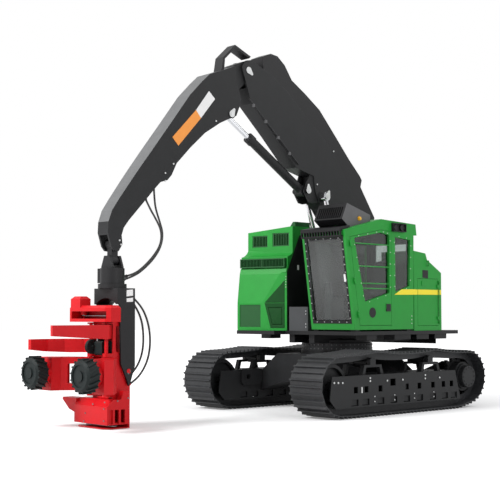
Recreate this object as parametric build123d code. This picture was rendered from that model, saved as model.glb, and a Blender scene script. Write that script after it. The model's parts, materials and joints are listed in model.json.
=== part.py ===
from build123d import *
import math
import os

# Forestry harvester: tracked undercarriage, turning upper structure with cab, boom, stick and head.
# Millimetres. While it is drawn, X is the machine's left, -Y its front, Z up, and the origin lies on
# the ground under the swing axis. At the end everything moves along Y to the centre of its own box.

# Clearances
FIT = 0.3                  # running fit between a pin and its bore, and between seated pieces
SIDE_GAP = 5.5             # free space between pieces that move past each other

# Tracks
TRACK_GAUGE = 2866
SHOE_WIDTH = 762
CHAIN_PITCH = 216
PIN_TO_SHOE = 57
PIN_TO_RAIL = 58
SHOE_PLATE = 14
GROUSER = 36
RAIL_INNER = 95
RAIL_OUTER = 145
SPROCKET_TEETH = 12
IDLER_PINS = 13            # pins that would close round the front wheel
IDLER_Y = -1885
IDLER_Z = 567
SPROCKET_Y = 1900
SPROCKET_Z = 600
ROLLER_YS = (-1457, -1160, -746, -377, 2, 391, 790, 1167, 1457)
STRAIGHT_PAST = 75         # how far the ground run goes past the end rollers
CARRIER_YS = (-900, 790)
CARRIER_PIN_LINE = 1083
TRACK_SAG = 52
TOOTH_PAST_PIN = 12

# Track frame
FRAME_HALF = 302
FRAME_SHEET = 25
FRAME_TOP = 740
FRAME_BOTTOM = 175
FRAME_FRONT = -2110
FRAME_REAR = 1500
ROLLER_R = 110
CARRIER_R = 85
HUB_R = 215
UPPER_WINDOW_YS = (-1430, -1145, -757, -401, 5, 379, 793, 1124, 1380)
RAISED_WINDOW_Y = -401
COVER = (-1560, -1010)     # box cover on the inner side of each track frame
DRIVE_R = 285

# Car body and slew ring
CARBODY_TOP = 1130
TOW_EYE = (-1085, 690)     # its pin goes in from below
TOW_EYE_R = 35
TOW_EYE_THICKNESS = 70
RING_TOP = 1270
RING_OUTER = 690
RING_BORE = 560

# Upper structure
DECK_TOP = 1508
DECK_SHEET = 70
DECK_HALF = 1395
BODY_HALF = 1385
GAP_RIGHT = -345           # inner wall of the right body
GAP_LEFT = 345             # inner wall of the cab
DECK_FRONT_RIGHT = -1400
DECK_FRONT_LEFT = -1095
DECK_REAR = 2045
SHEET = 30                 # body panels with their stiffeners

# Cab
CAB_LEFT = 1420
CAB_WALL = 60
CAB_BASE = 1538
GLASS = 8

# Arm pins, as (y, z)
FOOT = (850, 2100)
LIFT_BASE = (210, 1800)
LIFT_EYE = (-610, 4095)
NOSE = (-2550, 6280)
STICK_BASE = (-1000, 4190)
STICK_EYE = (-2975, 5420)
TIP = (-5470, 2970)
BOOM_HALF = 170
BOOM_SHEET = 25
FORK_HALF = 132            # inside faces of the boom's nose fork
FORK_R = 330
TIP_HALF = 142
TAPER_TOP = 4600           # from here down the stick narrows to its tip
LINK_HALF = 98
LIFT_X = 250
LIFT_BARREL_R = 67
LIFT_ROD_R = 45
STICK_BARREL_R = 85
STICK_BARREL = 1670
STICK_ROD_R = 50
PIN_R = 50

# Head, hanging from the tip pin
HEAD_Y = TIP[0]
CROSS_Z = 2700
ROTATOR_TOP = 2620
ROTATOR_R = 200
SWIVEL_Z = 2318
FLANGE_R = 235
YOKE_TOP = 2245
YOKE_UNDER = 1985
YOKE_HALF = 320
YOKE_PLATE = 32
TILT = (-5368, 905)
TILT_PIN_R = 40
HEAD_HALF = 268
HEAD_FRONT = -5650
HEAD_BACK = -5300
HEAD_TOP = 1968
HEAD_BOTTOM = 470
SAW_HALF = 450
SAW_FRONT = -5885
SAW_BACK = -5440
SAW_SKID = (10, 25)        # plate under the saw bar
SAW_UNDER = 75             # floor of the box over the bar
MAIN_SAW_PIN = (-330, -5660)
TOP_SAW_PIN = (-370, -5760)
ARM_PIVOT_X = 210
ARM_PIVOT_Y = -5735
ROLLER_AT = (700, -6480, 880)
ROLLER_TOE = 90            # degrees between the roller's axis and the X axis
FEED_R = 248
FEED_SPIKE = 25
FEED_WIDTH = 240
SPIKE_ROWS = 16
FEED_BORE = 70
MOTOR_LENGTH = 95

NODES = {}


# Working forms
def block(x0, x1, y0, y1, z0, z1):
    return Pos((x0 + x1) / 2, (y0 + y1) / 2, (z0 + z1) / 2) * Box(x1 - x0, y1 - y0, z1 - z0)


def face_of(points, radius=0):
    outline = Polygon(*points, align=None)
    return fillet(outline.vertices(), radius) if radius else outline


def side_cut(sketch, x0, x1):
    return extrude(Plane.YZ.offset(x0) * sketch, x1 - x0, dir=(1, 0, 0))


def side(points, x0, x1, radius=0):
    return side_cut(face_of(points, radius), x0, x1)


def front(points, y0, y1, radius=0):
    return extrude(Plane.XZ.offset(-y0) * face_of(points, radius), y1 - y0, dir=(0, 1, 0))


def plan(points, z0, z1, radius=0):
    return extrude(Plane.XY.offset(z0) * face_of(points, radius), z1 - z0, dir=(0, 0, 1))


def hollow_side(points, x0, x1, wall, radius=0):
    outline = face_of(points, radius)
    inner = offset(outline, -wall, kind=Kind.INTERSECTION)
    return side_cut(outline, x0, x1) - side_cut(inner, x0 + wall, x1 - wall)


def rod_x(at, radius, x0, x1):
    return side_cut(Pos(*at) * Circle(radius), x0, x1)


def rod_z(x, y, radius, z0, z1):
    return Pos(x, y, (z0 + z1) / 2) * Cylinder(radius, z1 - z0)


def rod(start, end, radius):
    run = Vector(*end) - Vector(*start)
    return Plane(origin=start, z_dir=run) * Cylinder(radius, run.length, align=(Align.CENTER,) * 2 + (Align.MIN,))


def along(a, b, distance):
    """The point (y, z) at a distance from a towards b."""
    length = math.hypot(b[0] - a[0], b[1] - a[1])
    return (a[0] + (b[0] - a[0]) * distance / length, a[1] + (b[1] - a[1]) * distance / length)


def span(a, b):
    return math.hypot(b[0] - a[0], b[1] - a[1])


def group(pieces):
    return Compound(children=list(pieces)) if len(pieces) > 1 else pieces[0]


def mirrored(shape):
    return group([mirror(solid, about=Plane.YZ) for solid in shape.solids()])


# Track chain: pins at even steps along one loop
def pin_circle(count):
    """Radius on which the chain's pins lie round a wheel that takes so many of them."""
    return CHAIN_PITCH / 2 / math.sin(math.pi / count)


def chain_pins():
    wheel, drum = pin_circle(SPROCKET_TEETH), pin_circle(IDLER_PINS)
    ground = PIN_TO_SHOE + SHOE_PLATE + GROUSER
    front_carrier, rear_carrier = CARRIER_YS
    top_front, top_rear = (IDLER_Y, IDLER_Z + drum), (SPROCKET_Y, SPROCKET_Z + wheel)
    first, last = (ROLLER_YS[0] - STRAIGHT_PAST, ground), (ROLLER_YS[-1] + STRAIGHT_PAST, ground)
    supports = [top_rear, (rear_carrier, CARRIER_PIN_LINE), (front_carrier, CARRIER_PIN_LINE), top_front]
    edges = [Line((IDLER_Y, IDLER_Z - drum), first), Line(first, last),
             Line(last, (SPROCKET_Y, SPROCKET_Z - wheel)),
             ThreePointArc((SPROCKET_Y, SPROCKET_Z - wheel), (SPROCKET_Y + wheel, SPROCKET_Z), top_rear)]
    for a, b in zip(supports, supports[1:]):
        sag = TRACK_SAG * span(a, b) / span(supports[1], supports[2])
        middle = ((a[0] + b[0]) / 2, (a[1] + b[1]) / 2 - sag * sag / TRACK_SAG)
        edges.append(ThreePointArc(a, middle, b))
    edges.append(ThreePointArc(top_front, (IDLER_Y - drum, IDLER_Z), (IDLER_Y, IDLER_Z - drum)))
    loop = Wire(edges)
    count = round(loop.length / CHAIN_PITCH)
    return [(p.X, p.Y) for p in (loop.position_at(i / count) for i in range(count))]


def loop_around(pins, distance):
    """The chain's polygon moved outwards by a distance."""
    moved = []
    for i, pin in enumerate(pins):
        before, after = pins[i - 1], pins[(i + 1) % len(pins)]
        a = Vector(pin[0] - before[0], pin[1] - before[1]).normalized()
        b = Vector(after[0] - pin[0], after[1] - pin[1]).normalized()
        out = Vector(a.Y + b.Y, -a.X - b.X).normalized()
        reach = distance / out.dot(Vector(a.Y, -a.X))
        moved.append((pin[0] + out.X * reach, pin[1] + out.Y * reach))
    return moved


# Each shoe from the side: how far along the pitch, and how high over the shoe's inner face
PLATE_TOP = SHOE_PLATE
TIP_TOP = SHOE_PLATE + GROUSER
SHOE_PROFILE = ((0.10, PLATE_TOP), (0.14, TIP_TOP), (0.24, TIP_TOP), (0.29, PLATE_TOP),
                (0.60, PLATE_TOP), (0.64, TIP_TOP), (0.73, TIP_TOP), (0.78, PLATE_TOP))


def shoe_outline(pins):
    inner = loop_around(pins, PIN_TO_SHOE)
    points = []
    for i, start in enumerate(inner):
        end = inner[(i + 1) % len(inner)]
        run = Vector(end[0] - start[0], end[1] - start[1])
        out = Vector(run.Y, -run.X).normalized()
        for share, height in SHOE_PROFILE:
            points.append((start[0] + run.X * share + out.X * height, start[1] + run.Y * share + out.Y * height))
    return points


def make_track(pins):
    centre = TRACK_GAUGE / 2
    inner = face_of(loop_around(pins, PIN_TO_SHOE))
    shoes = side_cut(face_of(shoe_outline(pins)) - inner, centre - SHOE_WIDTH / 2, centre + SHOE_WIDTH / 2)
    rail = face_of(loop_around(pins, PIN_TO_SHOE + 5)) - face_of(loop_around(pins, -PIN_TO_RAIL))
    for start in (centre - RAIL_OUTER, centre + RAIL_INNER):
        shoes += side_cut(rail, start, start + RAIL_OUTER - RAIL_INNER)
    return shoes


PINS = chain_pins()
RAIL_WIRE = Wire.make_polygon([(0, y, z) for y, z in loop_around(PINS, -PIN_TO_RAIL)], close=True)


def reach_to_rail(at):
    return RAIL_WIRE.distance_to(Vector(0, at[0], at[1])) - FIT


def make_track_frame():
    centre = TRACK_GAUGE / 2
    outline = [(FRAME_FRONT + 55, FRAME_TOP), (FRAME_REAR, FRAME_TOP), (FRAME_REAR + 170, FRAME_BOTTOM),
               (FRAME_FRONT + 150, FRAME_BOTTOM), (FRAME_FRONT, FRAME_BOTTOM + 160)]
    outer = side(outline, centre + FRAME_HALF - FRAME_SHEET, centre + FRAME_HALF)
    inner = side(outline, centre - FRAME_HALF, centre - FRAME_HALF + FRAME_SHEET)
    for place in ROLLER_YS:
        window = block(0, 3000, place - 95, place + 95, 205, 320)
        outer -= window
        inner -= window
    for place in UPPER_WINDOW_YS:
        half, low, high = (75, 520, 648) if place == RAISED_WINDOW_Y else (55, 430, 540)
        outer -= block(0, 3000, place - half, place + half, low, high)
    y, z = SPROCKET_Y, SPROCKET_Z
    drive_eye = [(FRAME_REAR - 200, FRAME_TOP), (y, z + 290), (y + 250, z + 160), (y + 290, z), (y + 200, z - 210),
                 (FRAME_REAR - 200, 300)]
    inner += side(drive_eye, centre - FRAME_HALF, centre - FRAME_HALF + FRAME_SHEET)
    frame = outer + inner
    edge = FRAME_HALF - FRAME_SHEET
    frame += block(centre - edge, centre + edge, -1470, 1440, FRAME_TOP - FRAME_SHEET, FRAME_TOP)
    for place in (-1275, 0, 1275):
        frame += block(centre - edge, centre + edge, place - 15, place + 15, 400, FRAME_TOP - FRAME_SHEET)
    for place in CARRIER_YS:
        frame += carrier_stand(place)
    cover = block(centre - FRAME_HALF - 55, centre - FRAME_HALF, *COVER, 450, FRAME_TOP + 20)
    cover = chamfer(cover.edges().filter_by(Axis.X), 60)
    frame += cover
    return frame - rod_x(((COVER[0] * 2 + COVER[1]) / 3, 610), 55, centre - FRAME_HALF - 60, centre - FRAME_HALF + 40)


def carrier_height():
    return CARRIER_PIN_LINE - PIN_TO_RAIL - CARRIER_R


def carrier_stand(place):
    """Two arches that carry a carrier roller's shaft, outboard and inboard of the chain."""
    top = carrier_height() - 25
    arch = [(place - 290, FRAME_TOP), (place - 235, top), (place + 235, top), (place + 290, FRAME_TOP),
            (place + 220, FRAME_TOP), (place + 185, top - 45), (place - 185, top - 45), (place - 220, FRAME_TOP)]
    clamp = [(place - 75, top), (place - 75, top + 95), (place - 40, top + 125), (place + 40, top + 125),
             (place + 75, top + 95), (place + 75, top)]
    centre = TRACK_GAUGE / 2
    stand = None
    for x0, x1 in ((RAIL_OUTER + 20, RAIL_OUTER + 105), (-RAIL_OUTER - 105, -RAIL_OUTER - 20)):
        leg = side(arch, centre + x0, centre + x1) + side(clamp, centre + x0, centre + x1)
        stand = leg if stand is None else stand + leg
    return stand


def make_rollers():
    centre = TRACK_GAUGE / 2
    inside = FRAME_HALF - FRAME_SHEET
    rail_top = PIN_TO_SHOE + SHOE_PLATE + GROUSER + PIN_TO_RAIL
    pieces = []
    for place in ROLLER_YS:
        at = (place, rail_top + ROLLER_R + FIT)
        wheel = rod_x(at, min(ROLLER_R, math.floor(reach_to_rail(at) + 0.01)), centre - RAIL_OUTER - 20, centre + RAIL_OUTER + 20)
        for x0, x1 in ((-inside, -RAIL_OUTER - 20), (RAIL_OUTER + 20, inside)):
            wheel += block(centre + x0, centre + x1, place - 85, place + 85, 215, 345)
        pieces.append(wheel)
    for place in CARRIER_YS:
        at = (place, carrier_height())
        wheel = rod_x(at, reach_to_rail(at), centre - RAIL_OUTER, centre + RAIL_OUTER)
        pieces.append(wheel + rod_x(at, 38, centre - RAIL_OUTER - 20, centre + RAIL_OUTER + 20))
    at = (IDLER_Y, IDLER_Z)
    rim = reach_to_rail(at)
    idler = rod_x(at, rim, centre - RAIL_OUTER, centre + RAIL_OUTER)
    idler -= rod_x(at, rim - 55, centre + 40, centre + RAIL_OUTER)
    idler -= rod_x(at, rim - 55, centre - RAIL_OUTER, centre - 40)
    idler += rod_x(at, rim + 32, centre - RAIL_INNER + 20, centre + RAIL_INNER - 20)
    idler += rod_x(at, 90, centre - inside, centre + inside)
    pieces.append(idler)
    return Compound(children=pieces)


def make_drive():
    centre = TRACK_GAUGE / 2
    root = reach_to_rail((SPROCKET_Y, SPROCKET_Z)) - 20
    tooth = pin_circle(SPROCKET_TEETH) + TOOTH_PAST_PIN
    teeth = []
    for i in range(SPROCKET_TEETH):
        for turn, radius in ((-9, root), (-3.2, tooth), (3.2, tooth), (9, root)):
            angle = math.radians(360 / SPROCKET_TEETH * (i + 0.5) + turn)
            teeth.append((SPROCKET_Y + radius * math.cos(angle), SPROCKET_Z + radius * math.sin(angle)))
    at = (SPROCKET_Y, SPROCKET_Z)
    drive = side(teeth, centre - 38, centre + 38)
    drive += rod_x(at, DRIVE_R, centre + 38, centre + 195)
    drive += rod_x(at, HUB_R + 30, centre + 195, centre + 235)
    hub = rod_x(at, HUB_R, centre + 235, centre + 345)
    drive += fillet(hub.faces().sort_by(Axis.X)[-1].edges(), 18)
    drive += rod_x(at, DRIVE_R - 40, centre - 150, centre - 38)
    drive += rod_x(at, 190, centre - FRAME_HALF + FRAME_SHEET, centre - 150)
    return drive


def make_car_body():
    inner = TRACK_GAUGE / 2 - FRAME_HALF
    beam = [(-inner, 330), (-inner, 700), (-660, 1065), (660, 1065), (inner, 700), (inner, 330),
            (560, 520), (-560, 520)]
    body = front(beam, -1000, -450) + front(beam, 450, 1000)
    body += block(-600, 600, -450, 450, 560, 1040)
    body += rod_z(0, 0, RING_OUTER + 15, 900, CARBODY_TOP)
    y, z = TOW_EYE
    half = TOW_EYE_THICKNESS / 2
    eye = plan([(-150, -1000), (150, -1000), (95, y + 10), (80, y - 50), (40, y - 85), (-40, y - 85), (-80, y - 50),
                (-95, y + 10)], z - half, z + half)
    body += block(-180, 180, -1000, -975, z - 130, z + 130)
    return body + eye - rod_z(0, y, TOW_EYE_R, z - TOW_EYE_THICKNESS, z + TOW_EYE_THICKNESS)


def make_slew_ring():
    return rod_z(0, 0, RING_OUTER, CARBODY_TOP, RING_TOP) - rod_z(0, 0, RING_BORE, CARBODY_TOP, RING_TOP)


for hand in ("left", "right"):
    turned = (lambda shape: shape) if hand == "left" else mirrored
    NODES["track_" + hand] = turned(make_track(PINS))
    NODES["track_frame_" + hand] = turned(make_track_frame())
    NODES["track_rollers_" + hand] = turned(make_rollers())
    NODES["final_drive_" + hand] = turned(make_drive())
NODES["car_body"] = make_car_body()
NODES["slew_ring"] = make_slew_ring()


# Upper structure. The boxes hang under the deck's edges, from one place to the other along Y
UNDER_BOXES = ((-726, -442), (83, 566), (750, 1127), (1319, 1700))
UNDER_BOX_DEPTH = 95


def make_deck():
    under = DECK_TOP - DECK_SHEET
    shape = [(-DECK_HALF, DECK_FRONT_RIGHT), (GAP_RIGHT, DECK_FRONT_RIGHT), (GAP_RIGHT, DECK_FRONT_LEFT),
             (CAB_LEFT, DECK_FRONT_LEFT), (CAB_LEFT, DECK_REAR), (905, DECK_REAR), (905, 1998), (-905, 1998),
             (-905, DECK_REAR), (-DECK_HALF, DECK_REAR)]
    deck = plan(shape, under, DECK_TOP)
    for x in (-260, 260):
        deck += block(x - 70, x + 70, -1000, 1998, RING_TOP + 10, under)
    deck += rod_z(0, 0, RING_OUTER - 20, RING_TOP + 10, RING_TOP + 60)
    deck += rod_z(0, 0, RING_BORE - FIT, RING_TOP - 90, RING_TOP + 60)
    for y0, y1 in UNDER_BOXES:
        for x0, x1 in ((DECK_HALF - 270, DECK_HALF - 5), (5 - DECK_HALF, 270 - DECK_HALF)):
            deck += block(x0, x1, y0, y1, under - UNDER_BOX_DEPTH, under)
    for x in (420, 1330):
        for y in (-980, 520):
            deck += block(x - 60, x + 60, y - 60, y + 60, DECK_TOP, CAB_BASE)
    return deck


def make_boom_mount():
    """Ears for the boom foot and for the two lift cylinders, with their pins."""
    y, z = FOOT
    ear = [(y - 330, DECK_TOP), (y + 420, DECK_TOP), (y + 260, z + 60), (y + 120, z + 190), (y - 120, z + 190),
           (y - 220, z + 60)]
    mount = rod_x(FOOT, PIN_R, -BOOM_HALF - 20, BOOM_HALF + 20)
    inside = BOOM_HALF + SIDE_GAP
    for x0 in (-inside - 40, inside):
        mount += side(ear, x0, x0 + 40, 20)
    y, z = LIFT_BASE
    lug = [(y - 190, DECK_TOP), (y + 240, DECK_TOP), (y + 115, z + 60), (y + 50, z + 125), (y - 50, z + 125),
           (y - 115, z + 60)]
    pieces = [mount]
    half = LIFT_BARREL_R + 2
    for sign in (-1, 1):
        x = sign * LIFT_X
        pair = rod_x(LIFT_BASE, 42, x - half - 8, x + half + 8)
        pair += side(lug, x - half - 18, x - half - 2, 12) + side(lug, x + half + 2, x + half + 18, 12)
        pieces.append(pair)
    return Compound(children=pieces)


def make_counterweight():
    shape = [(-905, 2002), (905, 2002), (700, 2205), (450, 2455), (-450, 2455), (-700, 2205)]
    weight = plan(shape, 1230, 2420, 0)
    return chamfer(weight.faces().sort_by(Axis.Z)[-1].edges().sort_by(Axis.Y)[-3:], 70)


def make_engine_hood():
    low, high = DECK_TOP, 2600
    shape = [(-BODY_HALF, 1340), (590, 1340), (590, 1540), (BODY_HALF, 1540), (905, 1998), (-905, 1998),
             (-BODY_HALF, 1540)]
    hood = plan(shape, low, high)
    inner = offset(face_of(shape), -SHEET, kind=Kind.INTERSECTION)
    hood -= extrude(Plane.XY.offset(low) * inner, high - low - SHEET, dir=(0, 0, 1))
    for i in range(7):
        x = -BODY_HALF + 235 + i * 210
        hood -= block(x, x + 150, 1380, 1900, high - SHEET, high)
    return hood


# Right body: its front, drawn at the outer side as (y, z), sweeps back towards the boom
SWEEP = 0.24               # how far back for each millimetre inwards
BOX_SWEEP = 0.2
RIGHT_FRONT = -1390
RIGHT_REAR = 900
RIGHT_TOP = 2950
BAND_LOW = 2732
RIGHT_PROFILE = [(RIGHT_FRONT, DECK_TOP), (2000, DECK_TOP), (2000, RIGHT_TOP), (-1280, RIGHT_TOP),
                 (-1280, BAND_LOW), (-1305, 2712), (-1330, 2608), (RIGHT_FRONT, 2045)]
BAND_HIGH = 2912
LOW_MESH = (1575, 2010)
SIDE_PANELS = ((-1110, -520), (-420, 180), (280, 820))
BOX_FRONT = -1099
BOX_BACK = 350
BOX_TOP = 3447             # at the outer side; it rises towards the boom
BOX_RISE = 96
# Facet beside the boom, below the louvres: height, y at the inner wall, and its own sweep
FACET = ((DECK_TOP - 10, -1052, 0.51), (2045, -1055, 0.42), (2640, -1056, 0.42))
# Windows of the upper box: from x to x, and heights of sill and head
BOX_WINDOWS = ((-1283, -927, 3150, 3380), (-809, -428, 3158, 3420))


def swept(points, x0, x1, sweep):
    """A side outline drawn at the body's outer side, pulled inwards and back."""
    start = Plane.YZ.offset(x0) * (Pos((x0 + BODY_HALF) * sweep, 0) * face_of(points))
    return extrude(start, (x1 - x0) * math.hypot(1, sweep), dir=(1, sweep, 0))


def front_of(x, y, sweep):
    """Y at a distance x of a front that lies at y on the outer side."""
    return y + (x + BODY_HALF) * sweep


def swept_strip(x0, x1, z0, z1, y0, y1, sweep=SWEEP):
    """A level bar along the swept front, from depth y0 to y1 at the outer side."""
    corners = [(x0, front_of(x0, y0, sweep)), (x1, front_of(x1, y0, sweep)),
               (x1, front_of(x1, y1, sweep)), (x0, front_of(x0, y1, sweep))]
    return plan(corners, z0, z1)


def facet_cut(back=0):
    """What the facet takes off the inner front corner, moved back by a wall."""
    sections = []
    for z, y, sweep in FACET:
        line = [(x, y + back + (x - GAP_RIGHT) * sweep) for x in (-1000, GAP_RIGHT + 10)]
        sections.append(Plane.XY.offset(z) * face_of(line + [(GAP_RIGHT + 10, -1600), (-1000, -1600)]))
    return loft(sections, ruled=True)


def make_right_body():
    """Tank and cooler body beside the boom."""
    body = swept(RIGHT_PROFILE, -BODY_HALF, GAP_RIGHT, SWEEP) - facet_cut()
    room = swept([(RIGHT_FRONT + SHEET, DECK_TOP + SHEET), (2000, DECK_TOP + SHEET), (2000, RIGHT_TOP - SHEET),
                  (-1280 + SHEET, RIGHT_TOP - SHEET), (-1280 + SHEET, BAND_LOW), (-1305 + SHEET, 2712),
                  (-1330 + SHEET, 2608), (RIGHT_FRONT + SHEET, 2045)], -BODY_HALF + SHEET, GAP_RIGHT - SHEET, SWEEP)
    room -= facet_cut(SHEET * 1.1)
    body -= room & block(-2000, 0, -2000, RIGHT_REAR - SHEET, 0, 4000)
    body -= block(-2000, 0, RIGHT_REAR, 3000, 0, 4000)
    body -= swept_strip(-BODY_HALF + 50, -860, *LOW_MESH, RIGHT_FRONT - 10, RIGHT_FRONT + 20)
    body -= swept_strip(-BODY_HALF + 30, GAP_RIGHT - 45, BAND_LOW + 35, BAND_HIGH - 25, -1400, -1280 + 2 * SHEET)
    for y0, y1 in SIDE_PANELS:
        body -= block(-BODY_HALF - 10, -BODY_HALF + 12, y0, y1, 1650, 2500)
    return body


def make_right_grilles():
    """Louvre band over the front, mesh panels below it and at the side."""
    x0, x1 = -BODY_HALF + 20, GAP_RIGHT - 20
    band = swept_strip(x0, x1, BAND_LOW, BAND_LOW + 23, -1345, -1280 - FIT)
    band += swept_strip(x0, x1, BAND_HIGH - 18, BAND_HIGH, -1345, -1280 - FIT)
    count = round((x1 - x0 - 8) / 33)
    for i in range(count + 1):
        x = x0 + (x1 - x0 - 8) * i / count
        band += swept_strip(x, x + 8, BAND_LOW, BAND_HIGH, -1338, -1285.5)
    for x in (x0, (x0 + x1) / 2 - 10, x1 - 20):
        band += swept_strip(x, x + 20, BAND_LOW, BAND_HIGH, -1345, -1285.5)
    low, high = LOW_MESH
    panel = swept_strip(-BODY_HALF + 52, -862, low + 2, high - 2, RIGHT_FRONT + 12, RIGHT_FRONT + 20 - FIT)
    pieces = [band, panel]
    for y0, y1 in SIDE_PANELS:
        grille = block(-BODY_HALF - 4, -BODY_HALF + 12, y0 + 20, y1 - 20, 1670, 2480)
        for row in range(9):
            z = 1720 + row * 82
            grille -= block(-BODY_HALF - 10, -BODY_HALF + 2, y0 + 45, y1 - 45, z, z + 45)
        pieces.append(grille)
    return Compound(children=pieces)


def box_top(x):
    return BOX_TOP + BOX_RISE * (x + BODY_HALF) / (GAP_RIGHT + BODY_HALF)


def make_upper_box():
    """Cooler box over the right body, with the scoop that sweeps down to the louvres."""
    low = RIGHT_TOP
    ridge = Plane.XZ * face_of([(-BODY_HALF, low), (GAP_RIGHT, low), (GAP_RIGHT, box_top(GAP_RIGHT)),
                                (-BODY_HALF, BOX_TOP)])
    box = extrude(ridge, 2000, both=True)
    box &= swept([(BOX_FRONT, low), (2000, low), (2000, 4000), (BOX_FRONT, 4000)], -BODY_HALF, GAP_RIGHT, BOX_SWEEP)
    box &= block(-BODY_HALF, GAP_RIGHT, -1500, BOX_BACK, low, 4000)
    room = block(-BODY_HALF + SHEET, GAP_RIGHT - SHEET, -1500, BOX_BACK - SHEET, low + 160, BOX_TOP - SHEET)
    box -= room & swept([(BOX_FRONT + SHEET, low), (2000, low), (2000, 4000), (BOX_FRONT + SHEET, 4000)],
                        -BODY_HALF, GAP_RIGHT, BOX_SWEEP)
    for x0, x1, sill, head in BOX_WINDOWS:
        box -= swept_strip(x0, x1, sill, head, BOX_FRONT - 20, BOX_FRONT + SHEET + 5, BOX_SWEEP)
    lip, top = (-1280, low), (BOX_FRONT + 10, low + 170)
    scoop = make_face([Line(lip, (top[0], low)), Line((top[0], low), top),
                       ThreePointArc(top, (BOX_FRONT - 60, low + 55), lip)])
    start = Plane.YZ.offset(-BODY_HALF) * scoop
    return box + extrude(start, (GAP_RIGHT + BODY_HALF) * math.hypot(1, SWEEP), dir=(1, SWEEP, 0))


def make_upper_meshes():
    """Meshes in the upper box's windows, and the dark lid on its inner corner."""
    pieces = []
    for x0, x1, sill, head in BOX_WINDOWS:
        mesh = swept_strip(x0 + FIT, x1 - FIT, sill + FIT, head - FIT, BOX_FRONT + 8, BOX_FRONT + 18, BOX_SWEEP)
        for i in range(1, 10):
            x = x0 + (x1 - x0) * i / 10
            mesh -= block(x - 12, x + 12, -1300, -500, sill + 20, head - 20)
        pieces.append(mesh)
    x0, x1 = GAP_RIGHT - 145, GAP_RIGHT
    lid = [(x0, box_top(x0) + FIT), (x1, box_top(x1) + FIT), (x1, 3632), (x1 - 60, 3632)]
    pieces.append(front(lid, -820, -400))
    return Compound(children=pieces)


SERVICE_HINGE = (1418, 1436)
HANDRAIL = (1075, 1400, 2770, 2862)


def grab_rail():
    """Bar on two stubs."""
    y, x, z0, z1 = HANDRAIL
    rail = rod((x + 45, y, z0 - 10), (x + 45, y, z1 + 10), 11)
    for z in (z0, z1):
        rail += rod((x - 30, y, z), (x + 45, y, z), 10)
    return rail


def make_left_body():
    shape = [(665, DECK_TOP), (665, 3050), (1030, 3010), (1085, 2885), (1530, 2640), (1530, DECK_TOP)]
    body = hollow_side(shape, 595, 1400, SHEET)
    body -= block(1300, 1500, 775, 1425, 1600, 2520)
    x, y = SERVICE_HINGE
    for z in (1645, 2430):
        body += block(1399, x + 14, y - 8, y + 16, z, z + 45) - rod_z(x, y, 9 + FIT, 1600, 2500)
    return body + grab_rail()


def make_service_door():
    door = block(1374, 1400, 781, 1419, 1606, 2514)
    door += block(1400, 1412, 900, 1010, 2380, 2470)
    x, y = SERVICE_HINGE
    door += rod_z(x, y, 9, 1640, 2480)
    for z in (1720, 2340):
        door += block(1400, x, 1380, 1400, z, z + 60) + block(x - 8, x + 6, 1380, y, z, z + 60)
    return door


def make_front_box():
    return block(-245, 245, -1090, -760, DECK_TOP, 1965)


def make_exhaust():
    x = -BODY_HALF + 385
    pipe = rod_z(x, 1700, 75, 2600, 2980)
    return pipe - rod_z(x, 1700, 62, 2640, 2980)


def make_engine():
    return block(-560, 560, 1400, 1920, DECK_TOP, 2150)


NODES["deck"] = make_deck()
NODES["boom_mount"] = make_boom_mount()
NODES["counterweight"] = make_counterweight()
NODES["engine_hood"] = make_engine_hood()
NODES["engine_block"] = make_engine()
NODES["right_body"] = make_right_body()
NODES["right_grilles"] = make_right_grilles()
NODES["upper_box"] = make_upper_box()
NODES["upper_meshes"] = make_upper_meshes()
NODES["left_body"] = make_left_body()
NODES["service_door"] = make_service_door()
NODES["front_box"] = make_front_box()
NODES["exhaust"] = make_exhaust()

# Cab, seen from the side as (y, z)
CAB_OUTLINE = [(-1085, CAB_BASE), (-1357, 3351), (-331, 3602), (704, 3557), (733, 3345), (640, 3345),
               (615, CAB_BASE)]
CAB_ROOM = [(-1022, CAB_BASE + 50), (-1280, 3330), (-331, 3540), (640, 3500), (580, 3340), (555, CAB_BASE + 50)]
DOOR_OUTLINE = [(-947, 1612), (-1215, 3230), (-331, 3405), (-38, 3380), (-38, 1612)]
DOOR_WINDOW = [(-797, 2048), (-1095, 3215), (-334, 3349), (-92, 3314), (-98, 2222)]
REAR_WINDOW = [(79, 2243), (77, 3285), (530, 3249), (503, 2364)]
HINGE_LOW = (-968, 1612)
HINGE_HIGH = (-1236, 3230)
FRONT_LOW = 1695
FRONT_HIGH = 3215


def front_at(z, inward=0):
    """Y of the cab's leaning front at a height, moved inwards by a depth."""
    (y0, z0), (y1, z1) = CAB_OUTLINE[:2]
    return y0 + (y1 - y0) * (z - z0) / (z1 - z0) + inward


def front_strip(z0, z1, depth0, depth1, x0, x1):
    return side([(front_at(z0, depth0), z0), (front_at(z1, depth0), z1), (front_at(z1, depth1), z1),
                 (front_at(z0, depth1), z0)], x0, x1)


HINGE_X = CAB_LEFT + 24
HINGE_HEIGHTS = (1790, 2400, 3080)


def hinge_at(z):
    """Point on the door's leaning hinge line."""
    (y0, z0), (y1, z1) = HINGE_LOW, HINGE_HIGH
    return (HINGE_X, y0 + (y1 - y0) * (z - z0) / (z1 - z0), z)


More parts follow.
